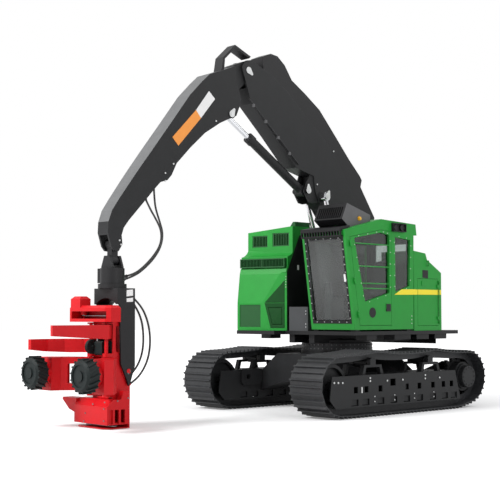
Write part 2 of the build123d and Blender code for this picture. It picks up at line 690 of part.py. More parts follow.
def make_cab_shell():
    shell = side(CAB_OUTLINE, GAP_LEFT, CAB_LEFT)
    shell -= side(CAB_ROOM, GAP_LEFT + CAB_WALL, CAB_LEFT - CAB_WALL)
    shell -= front_strip(FRONT_LOW, FRONT_HIGH, -60, 120, GAP_LEFT + 85, CAB_LEFT - 85)
    shell -= side(DOOR_OUTLINE, CAB_LEFT - CAB_WALL - 5, CAB_LEFT + 5)
    shell -= side(REAR_WINDOW, CAB_LEFT - CAB_WALL - 5, CAB_LEFT + 5)
    shell -= side([(-850, 2000), (-1080, 3180), (430, 3180), (430, 2000)], GAP_LEFT - 5, GAP_LEFT + CAB_WALL + 5)
    shell -= block(GAP_LEFT + 140, CAB_LEFT - 140, 500, 760, 2250, 3180)
    shell -= block(690, 1210, -950, -520, 3300, 3700)
    for z in HINGE_HEIGHTS:
        y = hinge_at(z + 60)[1]
        shell += rod(hinge_at(z + 32), hinge_at(z + 90), 17) + block(CAB_LEFT - 2, HINGE_X, y - 16, y + 2, z + 38, z + 85)
        shell -= rod(hinge_at(z + 20), hinge_at(z + 100), 9 + FIT)
    return shell


def make_cab_glass():
    """Front, side and rear panes and the skylight."""
    x0, x1 = GAP_LEFT + 85 + FIT, CAB_LEFT - 85 - FIT
    pieces = [front_strip(FRONT_LOW + 1, FRONT_HIGH - 1, 24, 24 + GLASS, x0, x1)]
    pieces.append(side(REAR_WINDOW, CAB_LEFT - 40, CAB_LEFT - 40 + GLASS))
    pieces.append(side([(-850, 2000), (-1080, 3180), (430, 3180), (430, 2000)], GAP_LEFT + 26,
                       GAP_LEFT + 26 + GLASS))
    pieces.append(block(GAP_LEFT + 140, CAB_LEFT - 140, 580, 580 + GLASS, 2250, 3180))
    pieces.append(side([(-950, 3415), (-950, 3423), (-520, 3528), (-520, 3520)], 690 + FIT, 1210 - FIT))
    return Compound(children=pieces)


def make_cab_door():
    gap = SIDE_GAP + 1
    outline = offset(face_of(DOOR_OUTLINE), -gap, kind=Kind.INTERSECTION)
    door = side_cut(outline, CAB_LEFT - CAB_WALL, CAB_LEFT)
    door -= side(DOOR_WINDOW, CAB_LEFT - CAB_WALL - 5, CAB_LEFT + 5, 25)
    for z in (3122, 2706, 2392, 2300):
        start = (-1072 - (z - 3122) * 0.255, z)
        door += rod((CAB_LEFT - 20, start[0] - 25, z), (CAB_LEFT - 20, -75, z), 11)
    door += block(CAB_LEFT, CAB_LEFT + 8, -210, -140, 1920, 2030)
    for z in HINGE_HEIGHTS:
        y = hinge_at(z)[1]
        door += rod(hinge_at(z - 30), hinge_at(z + 30), 17) + rod(hinge_at(z), hinge_at(z + 88), 9)
        door += block(HINGE_X - 12, HINGE_X + 8, y, y + 80, z - 25, z + 25)
        door += block(CAB_LEFT, HINGE_X, y + 44, y + 80, z - 25, z + 25)
    return door


def make_door_glass():
    return side(DOOR_WINDOW, CAB_LEFT - 52, CAB_LEFT - 52 + GLASS, 25)


def make_front_guard():
    """Barred guard over the top of the windscreen."""
    x0, x1 = GAP_LEFT + 40, CAB_LEFT - 55
    guard = front_strip(3228, 3256, -70, -FIT, x0, x1) + front_strip(3330, 3351, -70, -FIT, x0, x1)
    for i in range(15):
        x = x0 + (x1 - x0 - 22) * i / 14
        guard += front_strip(3228, 3351, -70, -30, x, x + 22)
    guard += side([(front_at(3351, -70), 3351), (front_at(3351, -70), 3395), (-1150, 3447), (-1150, 3402),
                   (-1357, 3351.5)], x0, x1)
    return guard


def roof_at(y):
    """Height of the cab roof's leaning front half."""
    (y0, z0), (y1, z1) = CAB_OUTLINE[1:3]
    return z0 + (z1 - z0) * (y - y0) / (y1 - y0)


def make_skylight_guard():
    outline = [(-1145, roof_at(-1145)), (-1150, 3460), (-1290, 3560), (-1150, 3858), (-500, 3675),
               (-500, roof_at(-500))]
    guard = side(outline, 605, 1300)
    room = [(-1090, 3300), (-1200, 3575), (-1115, 3800), (-545, 3645), (-545, 3300)]
    guard -= side(room, 630, 1275)
    for i in range(12):
        x = 650 + i * 51
        guard -= block(x, x + 32, -1400, -1120, 3585, 3790)
    return guard


def make_seat():
    seat = block(700, 1150, -180, 330, 2000, 2130)
    seat += side([(230, 2130), (330, 2130), (430, 2850), (330, 2850)], 710, 1140)
    seat += block(800, 1050, -80, 230, CAB_BASE + 50, 2000) + block(560, 1290, 40, 100, 2010, 2100)
    for x0, x1 in ((560, 680), (1170, 1290)):
        seat += block(x0, x1, -420, 180, 2180, 2290) + block(x0 + 20, x1 - 20, 20, 120, 2000, 2180)
    return seat


def make_console():
    console = block(460, 620, -850, -480, CAB_BASE + 50, 2150)
    console += side([(-820, 2150), (-860, 2420), (-820, 2430), (-760, 2150)], 470, 610)
    return console


LAMP_BOX = (-30, 350, 3385, 3545)


def make_cab_lamps():
    """Box with two work lamps, high on the cab's left side."""
    y0, y1, z0, z1 = LAMP_BOX
    x = CAB_LEFT + FIT
    box = block(x, x + 62, y0, y1, z0, z1) - block(x + 12, x + 70, y0 + 14, y1 - 14, z0 + 14, z1 - 14)
    for share in (0.27, 0.73):
        at = (y0 + (y1 - y0) * share, (z0 + z1) / 2)
        box += rod_x(at, 62, x + 5, x + 48) - rod_x(at, 52, x + 40, x + 60)
    return box


def make_amber_lamp():
    """Small marker lamp on the side of the skylight guard."""
    x = 1300 + FIT
    lamp = rod_x((-819, 3590), 42, x, x + 14) + rod_x((-819, 3590), 34, x + 14, x + 40)
    return fillet(lamp.faces().sort_by(Axis.X)[-1].edges(), 12)


NODES["cab_shell"] = make_cab_shell()
NODES["cab_lamps"] = make_cab_lamps()
NODES["amber_lamp"] = make_amber_lamp()
NODES["cab_glass"] = make_cab_glass()
NODES["cab_door"] = make_cab_door()
NODES["door_glass"] = make_door_glass()
NODES["front_guard"] = make_front_guard()
NODES["skylight_guard"] = make_skylight_guard()
NODES["seat"] = make_seat()
NODES["console"] = make_console()

# Boom, seen from the side as (y, z), from the nose back over the top and round the foot
BOOM_TOP = [(-2470, 6480), (-2220, 6370), (-1960, 6280), (-1560, 6030), (-280, 5020), (70, 4540), (370, 4100),
            (580, 3760), (1050, 2300)]
BOOM_UNDER = [(680, 2010), (560, 2300), (-250, 3520), (-560, 3890), (-700, 3985), (-790, 4200), (-830, 4480),
              (-1318, 4600), (-1918, 5170), (-2484, 5675)]
GUARD_TOP = [(-2190, 6590), (-1980, 6680), (-1800, 6660), (-1610, 6520), (-1420, 6260), (-1070, 6060),
             (-650, 5790), (-220, 5350), (220, 4890), (530, 4600), (590, 4520), (550, 4380), (980, 3780)]


def boom_face():
    y, z = FOOT
    body = face_of(BOOM_TOP + [(y + 200, z - 30), (y + 60, z - 200), (y - 110, z - 180)] + BOOM_UNDER +
                   [(-2700, 6250), (-2720, 6330), (-2620, 6450)])
    return fillet(body.vertices().sort_by(Axis.Y)[-6:], 60)


def make_boom():
    outline = boom_face()
    inner = offset(outline, -BOOM_SHEET, kind=Kind.INTERSECTION)
    inner -= Pos(*NOSE) * Circle(FORK_R + BOOM_SHEET)
    inner -= Pos(*FOOT) * Circle(190)
    inner -= Pos(*LIFT_EYE) * Circle(120)
    boom = side_cut(outline, -BOOM_HALF, BOOM_HALF)
    boom -= side_cut(inner, -BOOM_HALF + BOOM_SHEET, BOOM_HALF - BOOM_SHEET)
    boom -= rod_x(NOSE, FORK_R, -FORK_HALF, FORK_HALF)
    boom += rod_x(NOSE, PIN_R, -BOOM_HALF, BOOM_HALF)
    boom -= rod_x(FOOT, PIN_R + FIT, -BOOM_HALF, BOOM_HALF)
    for x0, x1 in ((-BOOM_HALF - 6, -BOOM_HALF), (BOOM_HALF, BOOM_HALF + 6)):
        boom += rod_x(LIFT_EYE, 110, x0, x1)
    y, z = STICK_BASE
    bracket = face_of([(y - 70, z + 40), (y - 72, z - 30), (y + 56, z - 218), (y + 171, z - 236), (y + 323, z - 213),
                       (y + 440, z - 190), (y + 400, z + 210), (y + 100, z + 370), (y - 30, z + 80)])
    bracket += Pos(y, z) * Circle(80)
    for x0 in (-150, 120):
        boom += side_cut(bracket, x0, x0 + 30)
    boom += rod_x(STICK_BASE, 45, -200, 200)
    return boom


def make_boom_guard():
    """Steel channel over the hoses along the boom's back."""
    path = [(-2165, 6351)] + GUARD_TOP + [(940, 3700), (650, 3600)]
    under = [(580, 3760), (370, 4100), (70, 4540), (-280, 5020), (-1560, 6030), (-1960, 6280)]
    outline = face_of(path + under)
    room = offset(outline, -16, kind=Kind.INTERSECTION)
    guard = side_cut(outline, -160, 160) - side_cut(room, -144, 144)
    return guard


NODES["boom"] = make_boom()
NODES["boom_guard"] = make_boom_guard()


def lift_parts():
    """Two lift cylinders, one each side of the boom."""
    reach = span(LIFT_BASE, LIFT_EYE)
    barrel_end = along(LIFT_BASE, LIFT_EYE, 1560)
    rod_start = along(LIFT_BASE, LIFT_EYE, 570)
    rod_end = along(LIFT_BASE, LIFT_EYE, reach - 60)
    barrels, rods = [], []
    for sign in (-1, 1):
        x = sign * LIFT_X
        barrel = rod((x, *LIFT_BASE), (x, *barrel_end), LIFT_BARREL_R)
        barrel += rod_x(LIFT_BASE, 95, x - LIFT_BARREL_R, x + LIFT_BARREL_R)
        barrel -= rod_x(LIFT_BASE, 42 + FIT, x - 100, x + 100)
        barrel -= rod((x, *along(LIFT_BASE, LIFT_EYE, 190)), (x, *along(LIFT_BASE, LIFT_EYE, 1700)),
                      LIFT_ROD_R + FIT)
        barrels.append(barrel)
        piston = rod((x, *rod_start), (x, *rod_end), LIFT_ROD_R)
        piston += rod_x(LIFT_EYE, 88, x - LIFT_BARREL_R, x + LIFT_BARREL_R)
        outer = x + sign * LIFT_BARREL_R
        piston += rod_x(LIFT_EYE, 60, min(outer, outer + sign * 15), max(outer, outer + sign * 15))
        rods.append(piston)
    return Compound(children=barrels), Compound(children=rods)


def stick_cylinder():
    reach = span(STICK_BASE, STICK_EYE)
    barrel_end = along(STICK_BASE, STICK_EYE, STICK_BARREL)
    barrel = rod((0, *STICK_BASE), (0, *barrel_end), STICK_BARREL_R)
    barrel += rod((0, *along(STICK_BASE, STICK_EYE, STICK_BARREL - 130)), (0, *barrel_end), STICK_BARREL_R + 14)
    barrel += rod_x(STICK_BASE, 105, -90, 90)
    barrel -= rod_x(STICK_BASE, 45 + FIT, -100, 100)
    barrel -= rod((0, *along(STICK_BASE, STICK_EYE, 150)), (0, *along(STICK_BASE, STICK_EYE, STICK_BARREL + 50)),
                  STICK_ROD_R + FIT)
    piston = rod((0, *along(STICK_BASE, STICK_EYE, 420)), (0, *along(STICK_BASE, STICK_EYE, reach - 60)),
                 STICK_ROD_R)
    piston += rod_x(STICK_EYE, 92, -70, 70)
    return barrel, piston


NODES["lift_barrels"], NODES["lift_rods"] = lift_parts()
NODES["stick_barrel"], NODES["stick_rod"] = stick_cylinder()

# Hoses as (x, y, z) points, from the stick to the rotator and from the yoke to the head
HOSE_R = 17
HOSE_END = 100             # length of the fitting at each end
HOSES = {
    "hose_upper_1": [(50, -4823, 3746), (55, -4740, 3600), (58, -4610, 3430), (60, -4490, 3235), (62, -4505, 3010),
                     (60, -4660, 2800), (55, -4870, 2610), (52, -5060, 2490), (50, -5210, 2455)],
    "hose_upper_2": [(-30, -4590, 3990), (-25, -4585, 3820), (-20, -4560, 3620), (-15, -4480, 3420),
                     (-10, -4400, 3200), (-8, -4450, 2965), (-12, -4610, 2750), (-20, -4835, 2560),
                     (-26, -5030, 2450), (-30, -5200, 2400)],
    "hose_lower_1": [(200, -5200, 2100), (203, -5040, 1970), (207, -4920, 1775), (210, -4852, 1545),
                     (212, -4842, 1300), (210, -4890, 1070), (206, -5000, 880), (202, -5130, 755),
                     (200, -5250, 690)],
    "hose_lower_2": [(120, -5195, 2085), (117, -5060, 1930), (113, -4945, 1720), (110, -4905, 1485),
                     (108, -4912, 1250), (111, -4975, 1060), (116, -5090, 900), (120, -5235, 790)],
}


def make_hose(name):
    """Hose of straight runs joined by arcs as large as the runs allow."""
    points = [Vector(*point) for point in HOSES[name]]
    radii = []
    for before, here, after in zip(points, points[1:], points[2:]):
        turn = math.radians((here - before).get_angle(after - here))
        radii.append(0.45 * min((here - before).length, (after - here).length) / math.tan(turn / 2))
    route = FilletPolyline(*points, radius=radii)
    print(name, "length", round(route.length), "radii", [round(radius) for radius in radii])
    return sweep(Plane(origin=points[0], z_dir=points[1] - points[0]) * Circle(HOSE_R), route)


def hose_fitting(name, last=False):
    """Fitting in line with the first or last run of a hose."""
    points = HOSES[name][-2:][::-1] if last else HOSES[name][:2]
    end, before = (Vector(*point) for point in points)
    return rod(end, end + (end - before).normalized() * HOSE_END, HOSE_R + 8)


for hose in HOSES:
    NODES[hose] = make_hose(hose)

# Stick, seen from the side as (y, z)
STICK_TOP = [(-3170, 6190), (-3500, 6070), (-3690, 5900), (-3960, 5630), (-4360, 5120), (-4940, 4390),
             (-5150, 4120), (-5450, 3720), (-5590, 3520), (-5660, 3330), (-5670, 3150)]
STICK_UNDER = [(-5375, 2970), (-5392, 3116), (-5350, 3240), (-5246, 3371), (-4978, 3654), (-4725, 3925),
               (-4596, 4054), (-4444, 4101), (-4357, 4194), (-4247, 4410), (-3957, 4699), (-3613, 5001),
               (-3259, 5220), (-2994, 5343), (-2860, 5400)]


def make_stick():
    y, z = NOSE
    ty, tz = TIP
    rear = [(-2790, 5560), (-2740, 5720), (y - 330, 6050), (y - 335, 6310)]
    outline = face_of(STICK_TOP + [(ty - 130, tz - 40), (ty - 70, tz - 110), (ty + 20, tz - 120)] +
                      STICK_UNDER + rear)
    slot = Pos(*STICK_EYE) * Rot(0, 0, 30) * Rectangle(520, 330)
    inner = offset(outline, -BOOM_SHEET, kind=Kind.INTERSECTION)
    inner -= Pos(*TIP) * Circle(280)
    stick = side_cut(outline, -BOOM_HALF, BOOM_HALF)
    room = side_cut(inner, -BOOM_HALF + BOOM_SHEET, BOOM_HALF - BOOM_SHEET)
    low = TIP_HALF - BOOM_SHEET
    stick -= room - block(-200, -low, -6000, -4200, 2700, TAPER_TOP) - block(low, 200, -6000, -4200, 2700, TAPER_TOP)
    for sign in (-1, 1):
        edge = sign * (BOOM_HALF + 1)
        stick -= front([(sign * TIP_HALF, 2700), (edge, 2700), (edge, TAPER_TOP), (sign * TIP_HALF, 3350)],
                       -6000, -4200)
    stick -= rod_x(TIP, 235, -LINK_HALF - SIDE_GAP, LINK_HALF + SIDE_GAP)
    stick += rod_x(TIP, 36, -TIP_HALF, TIP_HALF)
    web = face_of([(y - 345, z + 50), (y - 60, z + 165), (y + 120, z + 120), (y + 165, z - 10),
                   (y + 110, z - 120), (y - 60, z - 250), (y - 230, z - 400), (-2900, 5600), (-3100, 6000)], 20)
    stick += side_cut(web, -FORK_HALF + SIDE_GAP, FORK_HALF - SIDE_GAP)
    stick -= rod_x(NOSE, PIN_R + FIT, -200, 200)
    stick -= rod_x(STICK_EYE, 215, -70 - SIDE_GAP, 70 + SIDE_GAP)
    stick -= side([(-2700, 5100), (-3250, 5100), (-3150, 5620), (-2650, 5700)], -70 - SIDE_GAP, 70 + SIDE_GAP)
    for x0, x1 in ((-BOOM_HALF - 8, -BOOM_HALF), (BOOM_HALF, BOOM_HALF + 8)):
        stick += rod_x(STICK_EYE, 80, x0, x1)
    return stick + hose_fitting("hose_upper_1") + hose_fitting("hose_upper_2")


def make_stick_guard():
    """Folded plate over the hoses where they cross from boom to stick."""
    outer = [(-3170, 6190), (-3126, 6442), (-2833, 6715), (-2440, 6560), (-2480, 6520), (-2830, 6655),
             (-3080, 6420), (-3100, 6220)]
    return side(outer, -105, 105)


NODES["stick"] = make_stick()
NODES["stick_guard"] = make_stick_guard()


# Hanger link, rotator and yoke
def make_hanger_link():
    y, z = TIP
    link = rod_x(TIP, 88, -LINK_HALF, LINK_HALF)
    link += block(-62, 62, y - 62, y + 62, CROSS_Z, z)
    link += Pos(0, y, CROSS_Z) * Rot(90, 0, 0) * Cylinder(78, 150)
    link -= rod_x(TIP, 36 + FIT, -200, 200)
    return link - Pos(0, y, CROSS_Z) * Rot(90, 0, 0) * Cylinder(32 + FIT, 300)


def make_rotator():
    y = HEAD_Y
    body = rod_z(0, y, ROTATOR_R, SWIVEL_Z + FIT, ROTATOR_TOP - 45)
    for y0, y1 in ((y - 75 - SIDE_GAP - 36, y - 75 - SIDE_GAP), (y + 75 + SIDE_GAP, y + 75 + SIDE_GAP + 36)):
        body += front([(-150, ROTATOR_TOP - 60), (-150, ROTATOR_TOP - 20), (-75, CROSS_Z + 80), (75, CROSS_Z + 80),
                       (150, ROTATOR_TOP - 20), (150, ROTATOR_TOP - 60)], y0, y1)
    body += Pos(0, y, CROSS_Z) * Rot(90, 0, 0) * Cylinder(32, 225)
    body += block(-235, -120, y - 130, y + 110, SWIVEL_Z + 15, SWIVEL_Z + 255)
    return body + hose_fitting("hose_upper_1", last=True) + hose_fitting("hose_upper_2", last=True)


def make_yoke():
    y = HEAD_Y
    yoke = rod_z(0, y, FLANGE_R, YOKE_TOP, SWIVEL_Z)
    bridge = block(-YOKE_HALF, YOKE_HALF, y - 130, y + 222, YOKE_UNDER, YOKE_TOP)
    yoke += bridge - Pos(0, y, YOKE_UNDER - 330) * Rot(90, 0, 0) * Cylinder(430, 800)
    py, pz = TILT
    arm = [(y - 130, YOKE_TOP), (y + 222, YOKE_TOP), (py + 128, pz + 80), (py + 30, pz - 215), (py + 5, pz - 238),
           (py - 32, pz - 140), (py - 154, pz + 120), (y - 80, YOKE_UNDER - 15), (y - 130, YOKE_UNDER + 20)]
    for x0 in (-YOKE_HALF, YOKE_HALF - YOKE_PLATE):
        yoke += side(arm, x0, x0 + YOKE_PLATE)
    yoke += hose_fitting("hose_lower_1") + hose_fitting("hose_lower_2")
    return yoke - rod_x(TILT, TILT_PIN_R + FIT, -500, 500)


NODES["hanger_link"] = make_hanger_link()
NODES["rotator"] = make_rotator()
NODES["yoke"] = make_yoke()


# Harvesting head: heights of its cross plates, and of the lugs that hold the arm pins
CROSS_PLATES = (HEAD_BOTTOM, 1135, 1660, HEAD_TOP - 30)
ARM_PIN_R = 30
ARM_LOW = 590
ARM_HIGH = 1130
PIN_LUGS = ((505, 584), (1136, 1195), (1665, 1690))
KNIFE_HIGH = (1435, 1655)
KNIFE_LOW = (1205, 1425)
HOOD = (-492, 560)         # topping saw hood, from x to x
HOOD_FRONT = -5960
HOOD_BOTTOM = 1700
HOOD_TOP = 1964


def make_head_frame():
    """Open box of the head's body: back plate, two cheeks and cross plates that carry the arm pins."""
    frame = block(-HEAD_HALF, HEAD_HALF, HEAD_BACK - 20, HEAD_BACK, HEAD_BOTTOM, HEAD_TOP)
    cheek = face_of([(HEAD_BACK, HEAD_BOTTOM), (HEAD_BACK, HEAD_TOP), (HEAD_FRONT, HEAD_TOP), (HEAD_FRONT, HEAD_BOTTOM)])
    window = face_of([(HEAD_BACK - 80, 1210), (HEAD_BACK - 80, 1640), (HEAD_FRONT + 60, 1640), (HEAD_FRONT + 60, 1210)])
    cheek -= fillet(window.vertices(), 40)
    for x0 in (-HEAD_HALF, HEAD_HALF - 20):
        frame += side_cut(cheek, x0, x0 + 20)
    for z in CROSS_PLATES:
        frame += block(-HEAD_HALF, HEAD_HALF, HEAD_FRONT, HEAD_BACK, z, z + 30)
    inside = YOKE_HALF - YOKE_PLATE
    for x0, x1 in ((-inside + 1, -HEAD_HALF + 20), (HEAD_HALF - 20, inside - 1)):
        frame += rod_x(TILT, 110, x0, x1)
    frame += rod_x(TILT, TILT_PIN_R, -YOKE_HALF - 8, -inside + 1) + rod_x(TILT, TILT_PIN_R, inside - 1, YOKE_HALF + 8)
    for sign in (-1, 1):
        x = sign * ARM_PIVOT_X
        for z0, z1 in PIN_LUGS:
            frame += block(x - 58, x + 58, ARM_PIVOT_Y, HEAD_FRONT + 5, z0, z1)
            frame += rod_z(x, ARM_PIVOT_Y, 60, z0, z1)
        frame += rod_z(x, ARM_PIVOT_Y, ARM_PIN_R, PIN_LUGS[0][0], PIN_LUGS[-1][1])
    return frame + hose_fitting("hose_lower_1", last=True) + hose_fitting("hose_lower_2", last=True)


def make_top_saw_hood():
    """Hood round the topping saw, open at the front where the bar swings out, with its motor's cap."""
    x0, x1 = HOOD
    shape = [(x0, HOOD_FRONT), (x1 - 90, HOOD_FRONT), (x1, HOOD_FRONT + 60), (x1, HEAD_FRONT - 70),
             (x1 - 80, HEAD_FRONT), (x0, HEAD_FRONT)]
    hood = chamfer(plan(shape, HOOD_BOTTOM, HOOD_TOP).faces().sort_by(Axis.Z)[-1].edges(), 40)
    cap = block(x0 + 24, x0 + 290, HOOD_FRONT, HOOD_FRONT + 205, HOOD_TOP - 60, HOOD_TOP + 150)
    hood += chamfer(cap.edges().group_by(Axis.Z)[-1], 45)
    hood -= block(x0 + 50, x1 - 70, HOOD_FRONT - 10, HEAD_FRONT - 40, HOOD_BOTTOM + 52, HOOD_BOTTOM + 170)
    x, y = TOP_SAW_PIN
    hood += rod_z(x, y, 60, HOOD_BOTTOM + 110, HOOD_BOTTOM + 175)
    return hood + rod_z(x, y, 22, HOOD_BOTTOM + 50, HOOD_TOP - 90)


def make_top_saw_bar():
    x, y = TOP_SAW_PIN
    bar = block(x, x + 600, y - 40, y + 40, 1793, 1803) + rod_z(x, y, 40, 1793, HOOD_BOTTOM + 110 - FIT)
    bar += rod_z(x + 600, y, 40, 1793, 1803)
    return bar - rod_z(x, y, 22 + FIT, 1780, 1820)


def make_saw_box():
    """Main saw housing: a box over the bar, with a skid plate under it and cooling slots in its left side."""
    shape = [(SAW_FRONT, SAW_UNDER), (SAW_FRONT, HEAD_BOTTOM - 110), (SAW_FRONT + 110, HEAD_BOTTOM - FIT),
             (HEAD_BACK - 90, HEAD_BOTTOM - FIT), (SAW_BACK, HEAD_BOTTOM - FIT), (SAW_BACK, SAW_UNDER)]
    box = side(shape, -SAW_HALF, SAW_HALF)
    box -= block(-SAW_HALF + 30, SAW_HALF - 30, SAW_FRONT + 140, SAW_BACK - 30, SAW_UNDER + 30, HEAD_BOTTOM - 30)
    rise = [(SAW_BACK - 180, HEAD_BOTTOM - 20), (SAW_BACK - 120, 600), (SAW_BACK, 600), (SAW_BACK, HEAD_BOTTOM - 20)]
    box += side(rise, HEAD_HALF + 75, SAW_HALF)
    low, high = SAW_SKID
    skid = plan([(-SAW_HALF, SAW_BACK), (SAW_HALF, SAW_BACK), (SAW_HALF, SAW_FRONT + 90), (SAW_HALF - 120, SAW_FRONT),
                 (120 - SAW_HALF, SAW_FRONT), (-SAW_HALF, SAW_FRONT + 90)], low, high)
    box += skid + block(-SAW_HALF, SAW_HALF, SAW_BACK - 20, SAW_BACK, low, SAW_UNDER)
    wing = [(10 - SAW_HALF, HEAD_BOTTOM - 10), (-825, HEAD_BOTTOM - 10), (-835, 425), (-640, 272),
            (10 - SAW_HALF, 215)]
    box += front(wing, SAW_FRONT + 30, SAW_FRONT + 230)
    for i in range(3):
        y = SAW_FRONT + 35 + i * 118
        box -= block(SAW_HALF - 30, SAW_HALF + 10, y, y + 78, SAW_UNDER + 15, SAW_UNDER + 235)
    return box


def make_main_saw_bar():
    x, y = MAIN_SAW_PIN
    bar = block(x, x + 650, y - 60, y + 60, 42, 52) + rod_z(x + 650, y, 60, 42, 52)
    return bar + rod_z(x, y, 60, SAW_SKID[1] + FIT, SAW_UNDER - FIT)


def make_knife(heights, tip):
    """Curved delimbing arm: its hub round the pin, its blade narrowing in height towards the tip."""
    z0, z1 = heights
    x, y = ARM_PIVOT_X, ARM_PIVOT_Y
    outline = [(x - 40, y - 65), (x - 65, y), (x - 30, y + 62), (x + 60, y + 60), (595, -5960), (668, -6350),
               (560, tip), (492, tip + 10), (530, -6350), (455, -6080), (x + 55, y - 90)]
    arm = plan(outline, z0, z1)
    low = [(-6000, z0 - 1), (tip - 60, z0 - 1), (tip - 60, z0 + 60), (-6350, z0 + 18)]
    arm -= side(low, 0, 1000)
    return arm - rod_z(x, y, ARM_PIN_R + FIT, z0, z1)


def roller_frame(distance):
    """A point on the left feed roller's axis, at a distance from its middle towards the arm."""
    angle = math.radians(ROLLER_TOE)
    x, y, z = ROLLER_AT
    return (x + distance * math.cos(angle), y + distance * math.sin(angle), z)


def make_feed_arm():
    """Arm from the pin to the motor that carries the feed roller, with a window between its plates."""
    x, y = ARM_PIVOT_X, ARM_PIVOT_Y
    outline = [(x - 40, y - 65), (x - 65, y), (x - 30, y + 62), (x + 80, y + 60), (620, -5830), (880, -6080),
               (900, -6275), (540, -6275), (500, -6120), (x + 60, y - 70)]
    arm = plan(outline, ARM_LOW, ARM_HIGH)
    arm -= plan([(x + 95, y + 200), (x + 95, y - 200), (600, -6150), (640, -6150), (640, y + 200)],
                ARM_LOW + 110, ARM_HIGH - 110)
    arm -= rod_z(x, y, ARM_PIN_R + FIT, ARM_LOW, ARM_HIGH)
    back = FEED_WIDTH / 2 + SIDE_GAP
    arm -= rod(roller_frame(-300), roller_frame(back), FEED_R + FEED_SPIKE + 12)
    arm += rod(roller_frame(back), roller_frame(back + MOTOR_LENGTH), 165)
    return arm + rod(roller_frame(-60), roller_frame(back + 10), FEED_BORE)


def make_feed_roller():
    """Drum with rows of slanted spike ribs, hollow towards its motor."""
    drum = Cylinder(FEED_R, FEED_WIDTH)
    drum = chamfer(drum.edges(), 35)
    drum -= Pos(0, 0, 45) * Cylinder(FEED_BORE + FIT, FEED_WIDTH)
    drum -= Pos(0, 0, -FEED_WIDTH / 2) * Cylinder(175, 40) - Pos(0, 0, -FEED_WIDTH / 2) * Cylinder(85, 60)
    rib = Pos(FEED_R + FEED_SPIKE / 2 - 10, 0, 0) * Rot(24, 0, 0) * Box(FEED_SPIKE + 20, 26, FEED_WIDTH - 40)
    for i in range(SPIKE_ROWS):
        drum += Rot(0, 0, 360 / SPIKE_ROWS * i) * rib
    angle = math.radians(ROLLER_TOE)
    return Plane(origin=ROLLER_AT, z_dir=(math.cos(angle), math.sin(angle), 0)) * drum


MEASURING_WHEEL = (-100, -5800, 1300, 118)


def make_back_roller():
    """Measuring wheel and the housing that carries it between the arms."""
    x, y, z, radius = MEASURING_WHEEL
    wheel = chamfer(rod_x((y, z), radius, x - 35, x + 35).edges(), 10)
    fork = block(x + 35, 150, y + 20, HEAD_FRONT + 90, CROSS_PLATES[1] + 30 + FIT, z + 90)
    return wheel + chamfer(fork.edges().filter_by(Axis.X), 25) + rod_x((y, z), 30, x, x + 60)


NODES["head_frame"] = make_head_frame()
NODES["top_saw_hood"] = make_top_saw_hood()
NODES["top_saw_bar"] = make_top_saw_bar()
NODES["saw_box"] = make_saw_box()
NODES["main_saw_bar"] = make_main_saw_bar()
NODES["knife_left"] = make_knife(KNIFE_HIGH, -6985)
NODES["knife_right"] = mirrored(make_knife(KNIFE_LOW, -6700))
NODES["feed_arm_left"] = make_feed_arm()
NODES["feed_arm_right"] = mirrored(make_feed_arm())
NODES["feed_roller_left"] = make_feed_roller()
NODES["feed_roller_right"] = mirrored(make_feed_roller())
NODES["back_roller"] = make_back_roller()

# The whole machine moves so that the middle of its box stands over the origin
BOXES = [shape.bounding_box() for shape in NODES.values()]
LOW = [min(getattr(box.min, axis) for box in BOXES) for axis in "XYZ"]
HIGH = [max(getattr(box.max, axis) for box in BOXES) for axis in "XYZ"]
SHIFT = Vector(-(LOW[0] + HIGH[0]) / 2, -(LOW[1] + HIGH[1]) / 2, -LOW[2])

if __name__ == "__main__":
    os.makedirs("parts", exist_ok=True)
    for name, shape in NODES.items():
        export_step(Pos(SHIFT.X, SHIFT.Y, SHIFT.Z) * shape, "parts/" + name + ".step")
    print("box", [round(b - a, 1) for a, b in zip(LOW, HIGH)], "shift", SHIFT)
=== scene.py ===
import json
import math

import bmesh
import bpy
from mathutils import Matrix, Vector


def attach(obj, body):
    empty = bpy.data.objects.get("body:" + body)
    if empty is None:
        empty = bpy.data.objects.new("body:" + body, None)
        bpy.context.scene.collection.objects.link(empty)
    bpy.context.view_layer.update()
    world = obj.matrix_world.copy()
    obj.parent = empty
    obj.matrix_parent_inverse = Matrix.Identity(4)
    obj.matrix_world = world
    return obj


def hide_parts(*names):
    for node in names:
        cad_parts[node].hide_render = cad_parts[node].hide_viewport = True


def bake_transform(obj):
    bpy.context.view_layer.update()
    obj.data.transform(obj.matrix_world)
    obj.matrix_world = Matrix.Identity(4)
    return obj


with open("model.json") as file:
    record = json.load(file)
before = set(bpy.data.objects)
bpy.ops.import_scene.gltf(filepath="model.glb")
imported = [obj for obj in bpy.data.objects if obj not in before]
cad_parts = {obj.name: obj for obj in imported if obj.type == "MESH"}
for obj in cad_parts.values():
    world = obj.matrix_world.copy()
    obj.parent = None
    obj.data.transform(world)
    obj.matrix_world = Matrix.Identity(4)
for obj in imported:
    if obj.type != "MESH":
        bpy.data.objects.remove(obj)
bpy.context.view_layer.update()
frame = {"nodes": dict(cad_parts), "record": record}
NODES = frame["nodes"]

# The part's drawing has its origin under the swing axis,
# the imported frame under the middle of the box.
SHIFT_Y = 2265


def at(x, y, z):
    """A place of the part's drawing, in millimetres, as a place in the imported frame."""
    return Vector((x, y + SHIFT_Y, z)) / 1000


# Camera at the photograph's place, in drawing millimetres and degrees
CAMERA_PLACE = (14686, -16289, 1817)
CAMERA_AZIMUTH, CAMERA_PITCH = 46.52, 3.346
SENSOR_WIDTH, LENS = 36, 79.57
FARTHEST_SEEN = 200


